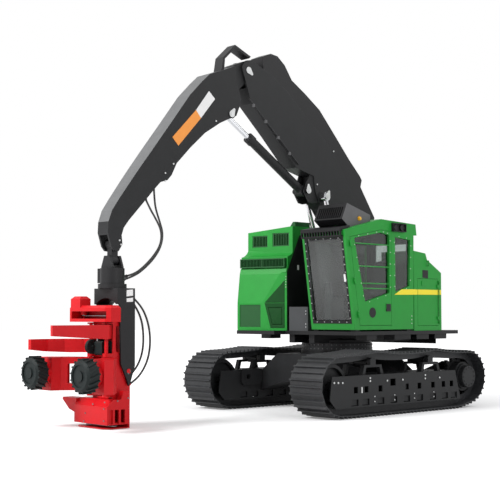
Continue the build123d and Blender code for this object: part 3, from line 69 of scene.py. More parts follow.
def make_camera():
    data = bpy.data.cameras.new("camera")
    data.sensor_width = SENSOR_WIDTH
    data.lens = LENS
    data.clip_end = FARTHEST_SEEN
    camera = bpy.data.objects.new("camera", data)
    bpy.context.scene.collection.objects.link(camera)
    camera.location = at(*CAMERA_PLACE)
    azimuth, pitch = math.radians(CAMERA_AZIMUTH), math.radians(CAMERA_PITCH)
    look = Vector((-math.sin(azimuth) * math.cos(pitch), math.cos(azimuth) * math.cos(pitch),
                   math.sin(pitch)))
    camera.rotation_euler = look.to_track_quat("-Z", "Y").to_euler()
    bpy.context.scene.camera = camera


# Materials
def new_material(name):
    material = bpy.data.materials.new(name)
    material.use_nodes = True
    tree = material.node_tree
    return material, tree.nodes, tree.links, tree.nodes["Principled BSDF"]


def painted(name, color, rough=0.4, metal=0.0, spread=0.1, scale=5.0, bump=0.05, specular=0.5,
            edge=0.004):
    """Paint, metal or rubber with slight tone changes, a fine surface and softly rounded edges."""
    material, nodes, links, shader = new_material(name)
    where = nodes.new("ShaderNodeTexCoord")
    noise = nodes.new("ShaderNodeTexNoise")
    noise.inputs["Scale"].default_value = scale
    noise.inputs["Detail"].default_value = 6
    noise.inputs["Roughness"].default_value = 0.6
    links.new(where.outputs["Object"], noise.inputs["Vector"])
    ramp = nodes.new("ShaderNodeValToRGB")
    ramp.color_ramp.elements[0].position = 0.3
    ramp.color_ramp.elements[1].position = 0.7
    ramp.color_ramp.elements[0].color = (*[c * (1 - spread) for c in color], 1)
    ramp.color_ramp.elements[1].color = (*[min(1, c * (1 + spread)) for c in color], 1)
    links.new(noise.outputs["Fac"], ramp.inputs["Fac"])
    links.new(ramp.outputs["Color"], shader.inputs["Base Color"])
    rough_map = nodes.new("ShaderNodeMapRange")
    rough_map.inputs["To Min"].default_value = max(0.02, rough - 0.07)
    rough_map.inputs["To Max"].default_value = min(1, rough + 0.07)
    links.new(noise.outputs["Fac"], rough_map.inputs["Value"])
    links.new(rough_map.outputs["Result"], shader.inputs["Roughness"])
    shader.inputs["Metallic"].default_value = metal
    shader.inputs["Specular IOR Level"].default_value = specular
    rounded = nodes.new("ShaderNodeBevel")
    rounded.samples = 4
    rounded.inputs["Radius"].default_value = edge
    if bump:
        fine = nodes.new("ShaderNodeTexNoise")
        fine.inputs["Scale"].default_value = 90
        fine.inputs["Detail"].default_value = 3
        links.new(where.outputs["Object"], fine.inputs["Vector"])
        relief = nodes.new("ShaderNodeBump")
        relief.inputs["Strength"].default_value = bump
        relief.inputs["Distance"].default_value = 0.002
        links.new(fine.outputs["Fac"], relief.inputs["Height"])
        links.new(rounded.outputs["Normal"], relief.inputs["Normal"])
        links.new(relief.outputs["Normal"], shader.inputs["Normal"])
    else:
        links.new(rounded.outputs["Normal"], shader.inputs["Normal"])
    return material


def clear_pane(name, tint):
    """Tinted glass that lets the light through to what stands behind it."""
    material, nodes, links, shader = new_material(name)
    shader.inputs["Base Color"].default_value = (*tint, 1)
    shader.inputs["Roughness"].default_value = 0.05
    shader.inputs["IOR"].default_value = 1.45
    shader.inputs["Transmission Weight"].default_value = 1
    see_through = nodes.new("ShaderNodeBsdfTransparent")
    see_through.inputs["Color"].default_value = (*tint, 1)
    path = nodes.new("ShaderNodeLightPath")
    mix = nodes.new("ShaderNodeMixShader")
    links.new(path.outputs["Is Shadow Ray"], mix.inputs["Fac"])
    links.new(shader.outputs["BSDF"], mix.inputs[1])
    links.new(see_through.outputs["BSDF"], mix.inputs[2])
    links.new(mix.outputs["Shader"], nodes["Material Output"].inputs["Surface"])
    return material


MATERIALS = {
    "green_paint": painted("green_paint", (0.013, 0.25, 0.03), 0.45, spread=0.05, specular=0.28),
    "dark_green_paint": painted("dark_green_paint", (0.008, 0.075, 0.016), 0.5, specular=0.3),
    # Darker green for the slanted corner's mesh: painted shade
    "mesh_green_painted_shade": painted("mesh_green_painted_shade", (0.006, 0.055, 0.011), 0.65, specular=0.15),
    "charcoal_paint": painted("charcoal_paint", (0.014, 0.0145, 0.0155), 0.5, spread=0.12,
                              specular=0.22),
    # Lighter grey for the arm's upper faces: a painted highlight
    "painted_highlight_grey": painted("painted_highlight_grey", (0.11, 0.112, 0.115), 0.5, spread=0.1, specular=0.3),
    "black_paint": painted("black_paint", (0.006, 0.006, 0.007), 0.5, spread=0.2, specular=0.28),
    "red_paint": painted("red_paint", (0.52, 0.004, 0.008), 0.42, spread=0.06, specular=0.22),
    "worn_steel": painted("worn_steel", (0.022, 0.023, 0.025), 0.5, spread=0.25, scale=12,
                          specular=0.35),
    "roller_steel": painted("roller_steel", (0.008, 0.012, 0.012), 0.6, spread=0.2, scale=20,
                            specular=0.2),
    "rod_chrome": painted("rod_chrome", (0.62, 0.63, 0.65), 0.18, metal=1.0, spread=0.03, bump=0.0),
    "window_glass": clear_pane("window_glass", (0.55, 0.6, 0.58)),
    "seat_fabric": painted("seat_fabric", (0.03, 0.03, 0.033), 0.9, scale=60, bump=0.3),
    "hose_rubber": painted("hose_rubber", (0.012, 0.012, 0.012), 0.45),
    "lamp_amber": painted("lamp_amber", (0.75, 0.4, 0.02), 0.25, bump=0.0),
    "saw_steel": painted("saw_steel", (0.35, 0.35, 0.37), 0.35, metal=0.9),
    "grey_plastic": painted("grey_plastic", (0.05, 0.053, 0.056), 0.55, specular=0.3),
    "guard_grey": painted("guard_grey", (0.1, 0.1, 0.104), 0.5, specular=0.3),
    "zinc": painted("zinc", (0.62, 0.63, 0.63), 0.4, metal=0.3, bump=0.0, edge=0.001),
    "dull_bolt": painted("dull_bolt", (0.16, 0.16, 0.165), 0.5, metal=0.3, bump=0.0, edge=0.001),
    "plate_white": painted("plate_white", (0.8, 0.8, 0.8), 0.5, spread=0.02, bump=0.0),
    "plate_orange": painted("plate_orange", (0.85, 0.3, 0.045), 0.5, spread=0.03, bump=0.0),
    "stripe_yellow": painted("stripe_yellow", (0.85, 0.7, 0.02), 0.4, spread=0.02, bump=0.0),
}
# Nodes that look different from their record slot
OWN_MATERIAL = {
    "feed_roller_left": "roller_steel",
    "feed_roller_right": "roller_steel",
    "back_roller": "roller_steel",
    "upper_meshes": "dark_green_paint",
}

for part in frame["record"]["subparts"]:
    node = NODES[part["node"]]
    material = MATERIALS[OWN_MATERIAL.get(part["node"], part["material_slot"])]
    node.data.materials.clear()
    node.data.materials.append(material)
    for polygon in node.data.polygons:
        polygon.material_index = 0


def repaint(node, material, chosen):
    """Gives a CAD node's faces another material where chosen(x, y, z, normal) says so.

    The place is the middle of the face, in drawing millimetres.
    """
    mesh = NODES[node].data
    mesh.materials.append(MATERIALS[material])
    for polygon in mesh.polygons:
        x, y, z = polygon.center * 1000
        if chosen(x, y - SHIFT_Y, z, polygon.normal):
            polygon.material_index = len(mesh.materials) - 1


# The cab's leaning front as (y, z), and the space inside the cab
FRONT_FOOT, FRONT_HEAD = (-1085, 1538), (-1357, 3351)
FRONT_OUT = Vector((0, FRONT_FOOT[1] - FRONT_HEAD[1], FRONT_HEAD[0] - FRONT_FOOT[0])).normalized()
CAB_SPACE = ((404, 1361), (-1290, 642), (1586, 3541))
ROOF_FROM = 3300


def front_at(z):
    (y0, z0), (y1, z1) = FRONT_FOOT, FRONT_HEAD
    return y0 + (y1 - y0) * (z - z0) / (z1 - z0)


def in_cab(x, y, z, normal):
    if not all(low <= c <= high for c, (low, high) in zip((x, y, z), CAB_SPACE)):
        return False
    on_front = abs(y - front_at(z)) < 12 and normal.y < -0.5
    on_roof = z > ROOF_FROM and normal.z > 0.5
    return not on_front and not on_roof


# Lid of the upper box, a painted highlight in lighter grey on the arm's upper faces, the insides of cab
# and door, the roof guard's side
repaint("upper_meshes", "black_paint", lambda x, y, z, normal: z > 3560 and normal.z > 0.5)
repaint("stick", "painted_highlight_grey", lambda x, y, z, normal: normal.y < -0.3 and normal.z > 0.2)
repaint("cab_shell", "black_paint", in_cab)
repaint("cab_door", "black_paint", lambda x, y, z, normal: x < 1364 and normal.x < -0.5)
repaint("skylight_guard", "guard_grey", lambda x, y, z, normal: x > 1297 and normal.x > 0.5)


# Small shapes, gathered in one mesh a piece
def slab(mesh, points, depth):
    """Flat plate from its corners in order and the vector of its thickness."""
    low = [mesh.verts.new(point) for point in points]
    high = [mesh.verts.new(point + depth) for point in points]
    mesh.faces.new(low)
    mesh.faces.new(high[::-1])
    for i in range(len(points)):
        j = (i + 1) % len(points)
        mesh.faces.new((low[i], low[j], high[j], high[i]))


def stud(mesh, centre, axis, radius, height, sides=6):
    """Round or hexagonal head that stands out along an axis."""
    axis = Vector(axis).normalized()
    across = axis.orthogonal().normalized()
    over = axis.cross(across)
    ring = [centre + (across * math.cos(a) + over * math.sin(a)) * radius
            for a in (2 * math.pi * i / sides for i in range(sides))]
    slab(mesh, ring, axis * height)


def tube(mesh, path, radius, sides=12):
    """Round tube that follows a path of points."""
    rings, across = [], None
    for i, point in enumerate(path):
        along = (path[min(i + 1, len(path) - 1)] - path[max(i - 1, 0)]).normalized()
        across = along.orthogonal() if across is None else across - along * across.dot(along)
        across.normalize()
        over = along.cross(across)
        rings.append([mesh.verts.new(point + (across * math.cos(a) + over * math.sin(a)) * radius)
                      for a in (2 * math.pi * k / sides for k in range(sides))])
    for one, other in zip(rings, rings[1:]):
        for k in range(sides):
            mesh.faces.new((one[k], one[(k + 1) % sides], other[(k + 1) % sides], other[k]))
    mesh.faces.new(rings[0][::-1])
    mesh.faces.new(rings[-1])


def add_piece(name, shapes, material, body, smooth=False):
    bmesh.ops.recalc_face_normals(shapes, faces=shapes.faces)
    mesh = bpy.data.meshes.new(name)
    shapes.to_mesh(mesh)
    shapes.free()
    mesh.polygons.foreach_set("use_smooth", [smooth] * len(mesh.polygons))
    mesh.materials.append(MATERIALS[material])
    piece = bpy.data.objects.new(name, mesh)
    bpy.context.scene.collection.objects.link(piece)
    if body:
        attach(piece, body)
    return piece


# Hoses: the same route points as in the part, and the length of the part's hose in metres
HOSES = (
    # name, length, first body, second body, where the bend starts and ends, points
    ("hose_upper_1", 1.745, "stick", "hanger_link", (50, -4700, 3000), (50, -5210, 2500),
     [(50, -4823, 3746), (55, -4740, 3600), (58, -4610, 3430), (60, -4490, 3235), (62, -4505, 3010),
      (60, -4660, 2800), (55, -4870, 2610), (52, -5060, 2490), (50, -5210, 2455)]),
    ("hose_upper_2", 2.013, "stick", "hanger_link", (-30, -4700, 3000), (-30, -5200, 2450),
     [(-30, -4590, 3990), (-25, -4585, 3820), (-20, -4560, 3620), (-15, -4480, 3420),
      (-10, -4400, 3200), (-8, -4450, 2965), (-12, -4610, 2750), (-20, -4835, 2560),
      (-26, -5030, 2450), (-30, -5200, 2400)]),
    ("hose_lower_1", 1.683, "yoke", "head", (200, -5040, 1900), (200, -5150, 750),
     [(200, -5200, 2100), (203, -5040, 1970), (207, -4920, 1775), (210, -4852, 1545), (212, -4842, 1300),
      (210, -4890, 1070), (206, -5000, 880), (202, -5130, 755), (200, -5250, 690)]),
    ("hose_lower_2", 1.491, "yoke", "head", (120, -5060, 1900), (120, -5150, 850),
     [(120, -5195, 2085), (117, -5060, 1930), (113, -4945, 1720), (110, -4905, 1485), (108, -4912, 1250),
      (111, -4975, 1060), (116, -5090, 900), (120, -5235, 790)]),
)
HOSE_DIAMETER = 0.034


def route_of(points):
    """Points along a smooth curve that has the route's points as its control points."""
    curve = bpy.data.curves.new("route", "CURVE")
    curve.dimensions = "3D"
    curve.resolution_u = 8
    spline = curve.splines.new("NURBS")
    spline.points.add(len(points) - 1)
    for point, control in zip(points, spline.points):
        control.co = (*at(*point), 1)
    spline.order_u = 3
    spline.use_endpoint_u = True
    line = bpy.data.objects.new("route", curve)
    bpy.context.scene.collection.objects.link(line)
    mesh = bpy.data.meshes.new_from_object(line)
    path = [vertex.co.copy() for vertex in mesh.vertices]
    bpy.data.objects.remove(line)
    bpy.data.meshes.remove(mesh)
    return path


for name, length, first, second, start, end, points in HOSES:
    path = route_of(points)
    shapes = bmesh.new()
    tube(shapes, path, HOSE_DIAMETER / 2, 16)
    hose = add_piece(name + "_smooth", shapes, "hose_rubber", None, smooth=True)
    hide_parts(name)
    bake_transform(hose)


# Seat: padded cushions in fabric with two sewn channels, on a plain frame.
# The shares are of the cushion's half size.
ROUNDNESS = 5
CROWN = 0.16
CHANNEL_PLACE, CHANNEL_WIDTH, CHANNEL_DEPTH = 0.5, 0.05, 0.1


def cushion(name, low, high, face):
    """Rounded cushion between two corners; face is the axis its padded side looks along."""
    shapes = bmesh.new()
    bmesh.ops.create_cube(shapes, size=2)
    bmesh.ops.subdivide_edges(shapes, edges=shapes.edges, cuts=23, use_grid_fill=True)
    middle = [(a + b) / 2 for a, b in zip(low, high)]
    half = [(b - a) / 2 for a, b in zip(low, high)]
    for vertex in shapes.verts:
        share = list(vertex.co)
        powers = sum(abs(c) ** ROUNDNESS for c in share)
        round_off = max(abs(c) for c in share) / powers ** (1 / ROUNDNESS)
        share = [c * round_off for c in share]
        crown = 1 - CROWN * (share[0] ** 2 + share[3 - face] ** 2) / 2
        seam = CHANNEL_DEPTH * math.exp(-((abs(share[0]) - CHANNEL_PLACE) / CHANNEL_WIDTH) ** 2)
        share[face] *= crown - seam
        vertex.co = at(*[m + h * c for m, h, c in zip(middle, half, share)])
    piece = add_piece(name, shapes, "seat_fabric", "upper_structure", smooth=True)
    return piece


seat_pieces = [cushion("seat_cushion", (700, -180, 2000), (1150, 330, 2130), 2),
               cushion("seat_back", (700, 235, 2135), (1150, 430, 2850), 1),
               cushion("armrest_right", (565, -415, 2185), (675, 180, 2288), 2),
               cushion("armrest_left", (1175, -415, 2185), (1285, 180, 2288), 2)]
# Pedestal, cross bar and the two armrests' posts as x0, x1, y0, y1, z0, z1
SEAT_FRAME = ((800, 1050, -60, 300, 1600, 2010), (640, 1210, 60, 160, 2030, 2090),
              (600, 640, 90, 150, 2040, 2200), (1210, 1250, 90, 150, 2040, 2200))
shapes = bmesh.new()
for x0, x1, y0, y1, z0, z1 in SEAT_FRAME:
    foot = [at(x0, y0, z0), at(x1, y0, z0), at(x1, y1, z0), at(x0, y1, z0)]
    slab(shapes, foot, Vector((0, 0, (z1 - z0) / 1000)))
seat_pieces.append(add_piece("seat_frame", shapes, "black_paint", "upper_structure"))
for piece in seat_pieces:
    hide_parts("seat")


# Rows of bolts
def bolt_row(mesh, start, end, count, axis, radius=9, height=7, margin=0.5):
    """Bolts evenly spaced from one place to another, margin steps in from both ends."""
    start, end = Vector(start), Vector(end)
    for i in range(count):
        share = (i + margin) / (count - 1 + 2 * margin) if count > 1 else 0.5
        stud(mesh, at(*start.lerp(end, share)), axis, radius / 1000, height / 1000)


def bolts_round(mesh, outline, x, away, step):
    """Bolts at the plane x round an outline of (y, z) corners, a distance outside it."""
    middle = [sum(point[i] for point in outline) / len(outline) for i in (0, 1)]
    for i, (y0, z0) in enumerate(outline):
        y1, z1 = outline[(i + 1) % len(outline)]
        length = math.hypot(y1 - y0, z1 - z0)
        out = ((z1 - z0) / length, (y0 - y1) / length)
        if out[0] * (y0 - middle[0]) + out[1] * (z0 - middle[1]) < 0:
            out = (-out[0], -out[1])
        dy, dz = out[0] * away, out[1] * away
        count = max(2, round(length / step))
        bolt_row(mesh, (x, y0 + dy, z0 + dz), (x, y1 + dy, z1 + dz), count, (1, 0, 0))


DOOR_WINDOW = [(-797, 2048), (-1095, 3215), (-334, 3349), (-92, 3314), (-98, 2222)]
REAR_WINDOW = [(79, 2243), (77, 3285), (530, 3249), (503, 2364)]
CAB_LEFT = 1420
SUNK = 1
WINDOW_BOLTS_AWAY, WINDOW_BOLTS_STEP = 22, 230

shapes = bmesh.new()
bolts_round(shapes, DOOR_WINDOW, CAB_LEFT - SUNK, WINDOW_BOLTS_AWAY, WINDOW_BOLTS_STEP)
add_piece("door_window_bolts", shapes, "zinc", "cab_door")
shapes = bmesh.new()
bolts_round(shapes, REAR_WINDOW, CAB_LEFT - SUNK, WINDOW_BOLTS_AWAY, WINDOW_BOLTS_STEP)
for z in (1650, 1720, 1790):
    stud(shapes, at(CAB_LEFT - SUNK, 560, z), (1, 0, 0), 0.010, 0.008)
add_piece("rear_window_bolts", shapes, "zinc", "upper_structure")


# Windscreen border with its bolts, as x0, x1, z0, z1 on the leaning front
BORDER = ((400, 1365, 1650, 1712), (400, 1365, 3190, 3226), (400, 446, 1712, 3190),
          (1319, 1365, 1712, 3190))
BORDER_OFF, BORDER_THICKNESS = 0.0005, 0.004
shapes = bmesh.new()
for x0, x1, z0, z1 in BORDER:
    corners = ((x0, z0), (x1, z0), (x1, z1), (x0, z1))
    slab(shapes, [at(x, front_at(z), z) + FRONT_OUT * BORDER_OFF for x, z in corners],
         FRONT_OUT * BORDER_THICKNESS)
add_piece("windscreen_border", shapes, "black_paint", "upper_structure")
shapes = bmesh.new()
for start, end, count in (((423, 1682), (423, 3208), 11), ((1342, 1682), (1342, 3208), 11),
                          ((423, 1682), (1342, 1682), 5), ((423, 3208), (1342, 3208), 5)):
    (x0, z0), (x1, z1) = start, end
    bolt_row(shapes, (x0, front_at(z0) - 4, z0), (x1, front_at(z1) - 4, z1), count, FRONT_OUT)
add_piece("windscreen_bolts", shapes, "zinc", "upper_structure")


# Flat plates, each this far off its plane: name, material, slot, body, plane x, thickness,
# corners as (y, z)
PLATE_OFF = 0.5
PLATES = (
    ("stripe_cab", "stripe_yellow", "lamp_amber", "upper_structure", 1420, 2,
     [(47, 2191), (262, 2297), (676, 2304), (674, 2199)]),
    ("stripe_body_front", "stripe_yellow", "lamp_amber", "upper_structure", 1400, 2,
     [(690, 2200), (690, 2302), (775, 2303), (775, 2203)]),
    ("stripe_door", "stripe_yellow", "lamp_amber", "service_door", 1400, 2,
     [(787, 2203), (787, 2303), (1412, 2303), (1412, 2206)]),
    ("stripe_body_rear", "stripe_yellow", "lamp_amber", "upper_structure", 1400, 2,
     [(1425, 2206), (1425, 2303), (1520, 2303), (1520, 2207)]),
    # Black sheet for the lifting recess: painted shade inside the recess
    ("lift_recess_painted_shade", "black_paint", "black_paint", "upper_structure", 1400, 2,
     [(931, 2535), (931, 2685), (1111, 2682), (1108, 2522)]),
    ("door_disc", "black_paint", "black_paint", "cab_door", 1420, 3,
     [(-591 + 95 * math.cos(a / 16 * math.pi), 1854 + 95 * math.sin(a / 16 * math.pi))
      for a in range(32)]),
    ("door_latch", "black_paint", "black_paint", "cab_door", 1420, 12,
     [(-204, 1877), (-204, 2016), (-75, 2016), (-75, 1877)]),
    ("stick_sign_low", "plate_orange", "grey_plastic", "stick", 170, 3,
     [(-4353, 4847), (-4219, 4713), (-3708, 5254), (-3824, 5381)]),
    ("stick_sign_high", "plate_white", "grey_plastic", "stick", 170, 3,
     [(-3824, 5381), (-3708, 5254), (-3381, 5635), (-3523, 5758)]),
    ("yoke_sign_high", "plate_white", "grey_plastic", "yoke", 320, 2,
     [(-5420, 2215), (-5420, 2111), (-5289, 2125), (-5289, 2226)]),
    ("yoke_sign_low", "plate_white", "grey_plastic", "yoke", 320, 2,
     [(-5419, 2079), (-5418, 2020), (-5288, 2028), (-5289, 2093)]),
    ("frame_strip", "plate_white", "grey_plastic", "undercarriage", 1735, 2,
     [(-1280, 427), (-1280, 533), (-1255, 533), (-1255, 427)]),
    # Black sheet over the inner wall beside the boom: painted shade of the gap
    ("gap_wall_painted_shade", "black_paint", "black_paint", "upper_structure", -345, 2,
     [(-1045, 1520), (-1050, 2640), (-700, 3370), (330, 3430), (330, 2950), (890, 2950),
      (890, 1520)]),
    ("wall_sign", "plate_white", "grey_plastic", "upper_structure", -343, 2,
     [(-765, 2688), (-765, 2786), (-717, 2786), (-717, 2688)]),
    ("stick_tip_plate", "plate_white", "grey_plastic", "stick", 120, 2,
     [(-5500, 3137), (-5419, 3141), (-5418, 3062), (-5499, 3058)]),
)
for name, material, slot, body, x, depth, corners in PLATES:
    shapes = bmesh.new()
    slab(shapes, [at(x + PLATE_OFF, y, z) for y, z in corners], Vector((depth / 1000, 0, 0)))
    add_piece(name, shapes, material, body)


# Mesh on the slanted corner of the right body, in a darker green as painted shade: corners as (x, z),
# found on the body's own faces
AHEAD_OF_ALL = -9000
MESH_OFF, MESH_THICKNESS = 0.003, 0.004
FACET_MESHES = (
    ("facet_mesh_low", ((-640, 1560), (-385, 1560), (-385, 2040), (-770, 2040))),
    ("facet_mesh_high", ((-770, 2050), (-385, 2050), (-385, 2480))),
)


def on_front(node, x, z):
    """The place on a node's front face behind (x, z), a little off it."""
    place = NODES[node].ray_cast(at(x, AHEAD_OF_ALL, z), Vector((0, 1, 0)))[1]
    return place - Vector((0, MESH_OFF, 0))


for name, corners in FACET_MESHES:
    shapes = bmesh.new()
    slab(shapes, [on_front("right_body", x, z) for x, z in corners], Vector((0, -MESH_THICKNESS, 0)))
    add_piece(name, shapes, "mesh_green_painted_shade", "upper_structure")


# Bolts on the corner's edge and beside the front box, and the blank plate on the windscreen
shapes = bmesh.new()
bolt_row(shapes, (-352, -1066, 2350), (-352, -1066, 2551), 5, (0, -1, 0), margin=0)
for z in (1885, 1828, 1639, 1583):
    stud(shapes, at(200, -1091, z), (0, -1, 0), 0.01, 0.01)
add_piece("front_bolts", shapes, "zinc", "upper_structure")
WINDSCREEN_PLATE = ((1290, 2413), (1335, 2413), (1335, 2550), (1290, 2550))
shapes = bmesh.new()
slab(shapes, [at(x, front_at(z) - 6, z) for x, z in WINDSCREEN_PLATE], FRONT_OUT * 0.002)
add_piece("windscreen_plate", shapes, "plate_white", "upper_structure")


# Head: bolts as body, plane x and (y, z) places, and those on the saw box's front as (x, z)
HEAD_BOLTS = (
    ("head", 268, ((-5750, 1935), (-5650, 1938), (-5550, 1940), (-5450, 1940), (-5350, 1938))),
    ("yoke", 320, ((-5381, 869), (-5340, 906))),
    ("head", 450, ((-5685, 450), (-5476, 486))),
)
for number, (body, x, places) in enumerate(HEAD_BOLTS):
    shapes = bmesh.new()
    for y, z in places:
        stud(shapes, at(x, y, z), (1, 0, 0), 0.014, 0.01)
    add_piece(f"head_bolts_{number + 1}", shapes, "dull_bolt", body)
SAW_BOX_FRONT = -5885
SAW_BOX_BOLTS = ((71, 391), (393, 435), (-136, 235), (368, 330), (370, 143), (-173, 105))
shapes = bmesh.new()
for x, z in SAW_BOX_BOLTS:
    stud(shapes, at(x, SAW_BOX_FRONT + SUNK, z), (0, -1, 0), 0.013, 0.01)
add_piece("saw_box_bolts", shapes, "dull_bolt", "head")


# Pin caps, drop-shaped: body, plane x, centre (y, z), direction of the tail in degrees above +Y
CAPS = (
    ("boom", 170, (-2550, 6280), -38),
    ("boom", 200, (-1000, 4190), 95),
    ("stick", 178, (-2975, 5420), 58),
    ("lift_rods", 332, (-610, 4095), 68),
)
CAP_RADIUS, TAIL_LENGTH, TAIL_RADIUS, CAP_THICKNESS = 62, 100, 24, 5


def arc(y, z, radius, first, last, steps):
    """Points (y, z) of an arc between two angles in degrees."""
    angles = (math.radians(first + (last - first) * i / steps) for i in range(steps + 1))
    return [(y + radius * math.cos(a), z + radius * math.sin(a)) for a in angles]


for number, (body, x, (y, z), tail) in enumerate(CAPS):
    shapes = bmesh.new()
    tail_y = y + TAIL_LENGTH * math.cos(math.radians(tail))
    tail_z = z + TAIL_LENGTH * math.sin(math.radians(tail))
    corners = (arc(y, z, CAP_RADIUS, tail + 60, tail + 300, 24)
               + arc(tail_y, tail_z, TAIL_RADIUS, tail - 60, tail + 60, 6))
    slab(shapes, [at(x + PLATE_OFF, cy, cz) for cy, cz in corners], Vector((CAP_THICKNESS / 1000, 0, 0)))
    stud(shapes, at(x + CAP_THICKNESS, y, z), (1, 0, 0), 0.03, 0.004, 16)
    add_piece(f"pin_cap_{number + 1}", shapes, "zinc", body)


# Pipe along the boom with its clamps, whose middles are (y, z) on the boom's side
BOOM_PIPE = ((186, -2581, 5758), (190, -2560, 5741), (190, -1300, 4685), (186, -1274, 4663))
PIPE_CLAMPS = ((-2457, 5641), (-2141, 5383), (-1819, 5117), (-1520, 4847))
BOOM_SIDE = 170
shapes = bmesh.new()
tube(shapes, [at(*point) for point in BOOM_PIPE], 0.012)
add_piece("boom_pipe", shapes, "charcoal_paint", "boom", smooth=True)
shapes = bmesh.new()
for y, z in PIPE_CLAMPS:
    corners = ((-24, -30), (24, -30), (24, 26), (-24, 26))
    slab(shapes, [at(BOOM_SIDE, y + dy, z + dz) for dy, dz in corners], Vector((0.038, 0, 0)))
add_piece("pipe_clamps", shapes, "guard_grey", "boom")


# Bolts on the arm: body, plane x, (y, z) places
for body, x, places in (
        ("stick", 166, ((-3355, 5245), (-4327, 4389), (-4506, 4215), (-4505, 4079))),
        ("boom", 168, ((-266, 5017), (-740, 4327))),
        ("stick", 150, ((-5445, 3028), (-5416, 2960)))):
    shapes = bmesh.new()
    for y, z in places:
        stud(shapes, at(x, y, z), (1, 0, 0), 0.016, 0.014)
    add_piece(f"{body}_bolts_{x}", shapes, "zinc", body)


# Bolts of the undercarriage: track frames on both sides as (y, z), slew ring, final drives
FRAME_SIDE = 1735
FRAME_BOLTS = ((-1047, 684), (-1047, 630), (549, 678), (548, 614), (-572, 618), (-122, 618), (996, 615),
               (-2004, 635), (-1901, 631), (-1787, 626))
LOWER_BOLTS = [(y, z) for y in (-922, -360, 220, 810) for z in (260, 350)]
RING_RADIUS, RING_BOLTS = 0.688, 48
DRIVE_SIDE, DRIVE_AXIS, DRIVE_RING_RADIUS, DRIVE_BOLTS = 1777, (1900, 600), 170, 12
shapes = bmesh.new()
for places, radius, height in ((FRAME_BOLTS, 0.018, 0.012), (LOWER_BOLTS, 0.012, 0.01)):
    for y, z in places:
        for side in (-1, 1):
            stud(shapes, at(side * (FRAME_SIDE - SUNK), y, z), (side, 0, 0), radius, height)
add_piece("frame_bolts", shapes, "zinc", "undercarriage")
shapes = bmesh.new()
for z in (1165, 1237):
    for i in range(RING_BOLTS):
        angle = 2 * math.pi * (i + 0.5) / RING_BOLTS
        out = Vector((math.cos(angle), math.sin(angle), 0))
        stud(shapes, at(0, 0, z) + out * RING_RADIUS, out, 0.012, 0.01)
add_piece("ring_bolts", shapes, "dull_bolt", "undercarriage")
shapes = bmesh.new()
for side in (-1, 1):
    for i in range(DRIVE_BOLTS):
        angle = 2 * math.pi * i / DRIVE_BOLTS
        y = DRIVE_AXIS[0] + DRIVE_RING_RADIUS * math.cos(angle)
        z = DRIVE_AXIS[1] + DRIVE_RING_RADIUS * math.sin(angle)
        stud(shapes, at(side * DRIVE_SIDE, y, z), (side, 0, 0), 0.014, 0.01)
add_piece("drive_bolts", shapes, "charcoal_paint", "undercarriage")


# Floor, backdrop and lights: the floor's glow is weak round the machine, where its shadow lies,
# and full far away
FLOOR_HALF = 90
FLOOR_COLOR = (0.8, 0.8, 0.81, 1)
WHITE = (1, 1, 1, 1)
GLOW_NEAR, GLOW_FAR = 0.2, 0.8
GLOW_FROM, GLOW_TO = 5, 14
WORLD_STRENGTH = 0.5


def white_for_the_eye(nodes):
    """1 for rays from the camera, from shiny faces and through glass, 0 for the others."""
    path = nodes.new("ShaderNodeLightPath")
    value = path.outputs["Is Camera Ray"]
    for other in ("Is Glossy Ray", "Is Transmission Ray"):
        either = nodes.new("ShaderNodeMath")
        either.operation = "MAXIMUM"
        nodes.id_data.links.new(value, either.inputs[0])
        nodes.id_data.links.new(path.outputs[other], either.inputs[1])
        value = either.outputs["Value"]
    return value


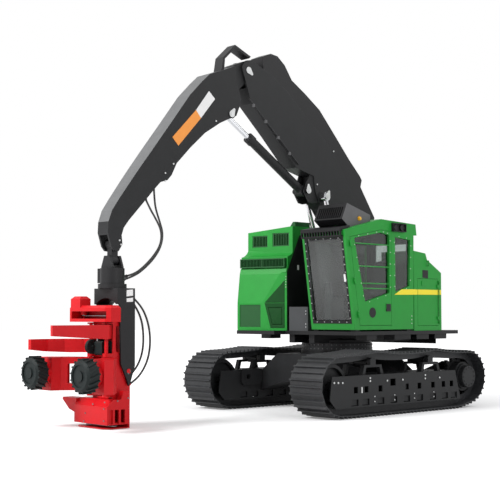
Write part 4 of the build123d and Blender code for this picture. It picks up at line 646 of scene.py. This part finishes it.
def make_stage():
    mesh = bpy.data.meshes.new("floor")
    corners = [(x * FLOOR_HALF, y * FLOOR_HALF, 0) for x, y in ((-1, -1), (1, -1), (1, 1), (-1, 1))]
    mesh.from_pydata(corners, [], [(0, 1, 2, 3)])
    floor = bpy.data.objects.new("floor", mesh)
    bpy.context.scene.collection.objects.link(floor)
    material, nodes, links, shader = new_material("floor_white")
    shader.inputs["Base Color"].default_value = FLOOR_COLOR
    shader.inputs["Roughness"].default_value = 1
    shader.inputs["Specular IOR Level"].default_value = 0
    shader.inputs["Emission Color"].default_value = WHITE
    geometry = nodes.new("ShaderNodeNewGeometry")
    distance = nodes.new("ShaderNodeVectorMath")
    distance.operation = "LENGTH"
    links.new(geometry.outputs["Position"], distance.inputs[0])
    reach = nodes.new("ShaderNodeMapRange")
    reach.inputs["From Min"].default_value = GLOW_FROM
    reach.inputs["From Max"].default_value = GLOW_TO
    reach.inputs["To Min"].default_value = GLOW_NEAR
    reach.inputs["To Max"].default_value = GLOW_FAR
    links.new(distance.outputs["Value"], reach.inputs["Value"])
    glow = nodes.new("ShaderNodeMath")
    glow.operation = "MULTIPLY"
    links.new(reach.outputs["Result"], glow.inputs[1])
    links.new(white_for_the_eye(nodes), glow.inputs[0])
    links.new(glow.outputs["Value"], shader.inputs["Emission Strength"])
    mesh.materials.append(material)
    world = bpy.data.worlds.new("world")
    bpy.context.scene.world = world
    world.use_nodes = True
    nodes, links = world.node_tree.nodes, world.node_tree.links
    background = nodes["Background"]
    background.inputs["Color"].default_value = WHITE
    background.inputs["Strength"].default_value = WORLD_STRENGTH
    bright = nodes.new("ShaderNodeBackground")
    bright.inputs["Color"].default_value = WHITE
    bright.inputs["Strength"].default_value = 1
    mix = nodes.new("ShaderNodeMixShader")
    links.new(white_for_the_eye(nodes), mix.inputs["Fac"])
    links.new(background.outputs["Background"], mix.inputs[1])
    links.new(bright.outputs["Background"], mix.inputs[2])
    links.new(mix.outputs["Shader"], nodes["World Output"].inputs["Surface"])


def add_light(name, location, size, power, target=(0, -500, 2000)):
    data = bpy.data.lights.new(name, "AREA")
    data.shape = "DISK"
    data.size = size
    data.energy = power
    light = bpy.data.objects.new(name, data)
    bpy.context.scene.collection.objects.link(light)
    light.location = at(*location)
    light.rotation_euler = (at(*target) - at(*location)).to_track_quat("-Z", "Y").to_euler()


# Place in drawing millimetres, disk size in metres, power in watts
make_camera()
make_stage()
add_light("key", (-3000, -18000, 14000), 8, 4200)
add_light("fill", (16000, -4000, 8000), 9, 800)
add_light("top", (4000, 10000, 14000), 8, 700)
bpy.context.scene.view_settings.view_transform = "Standard"
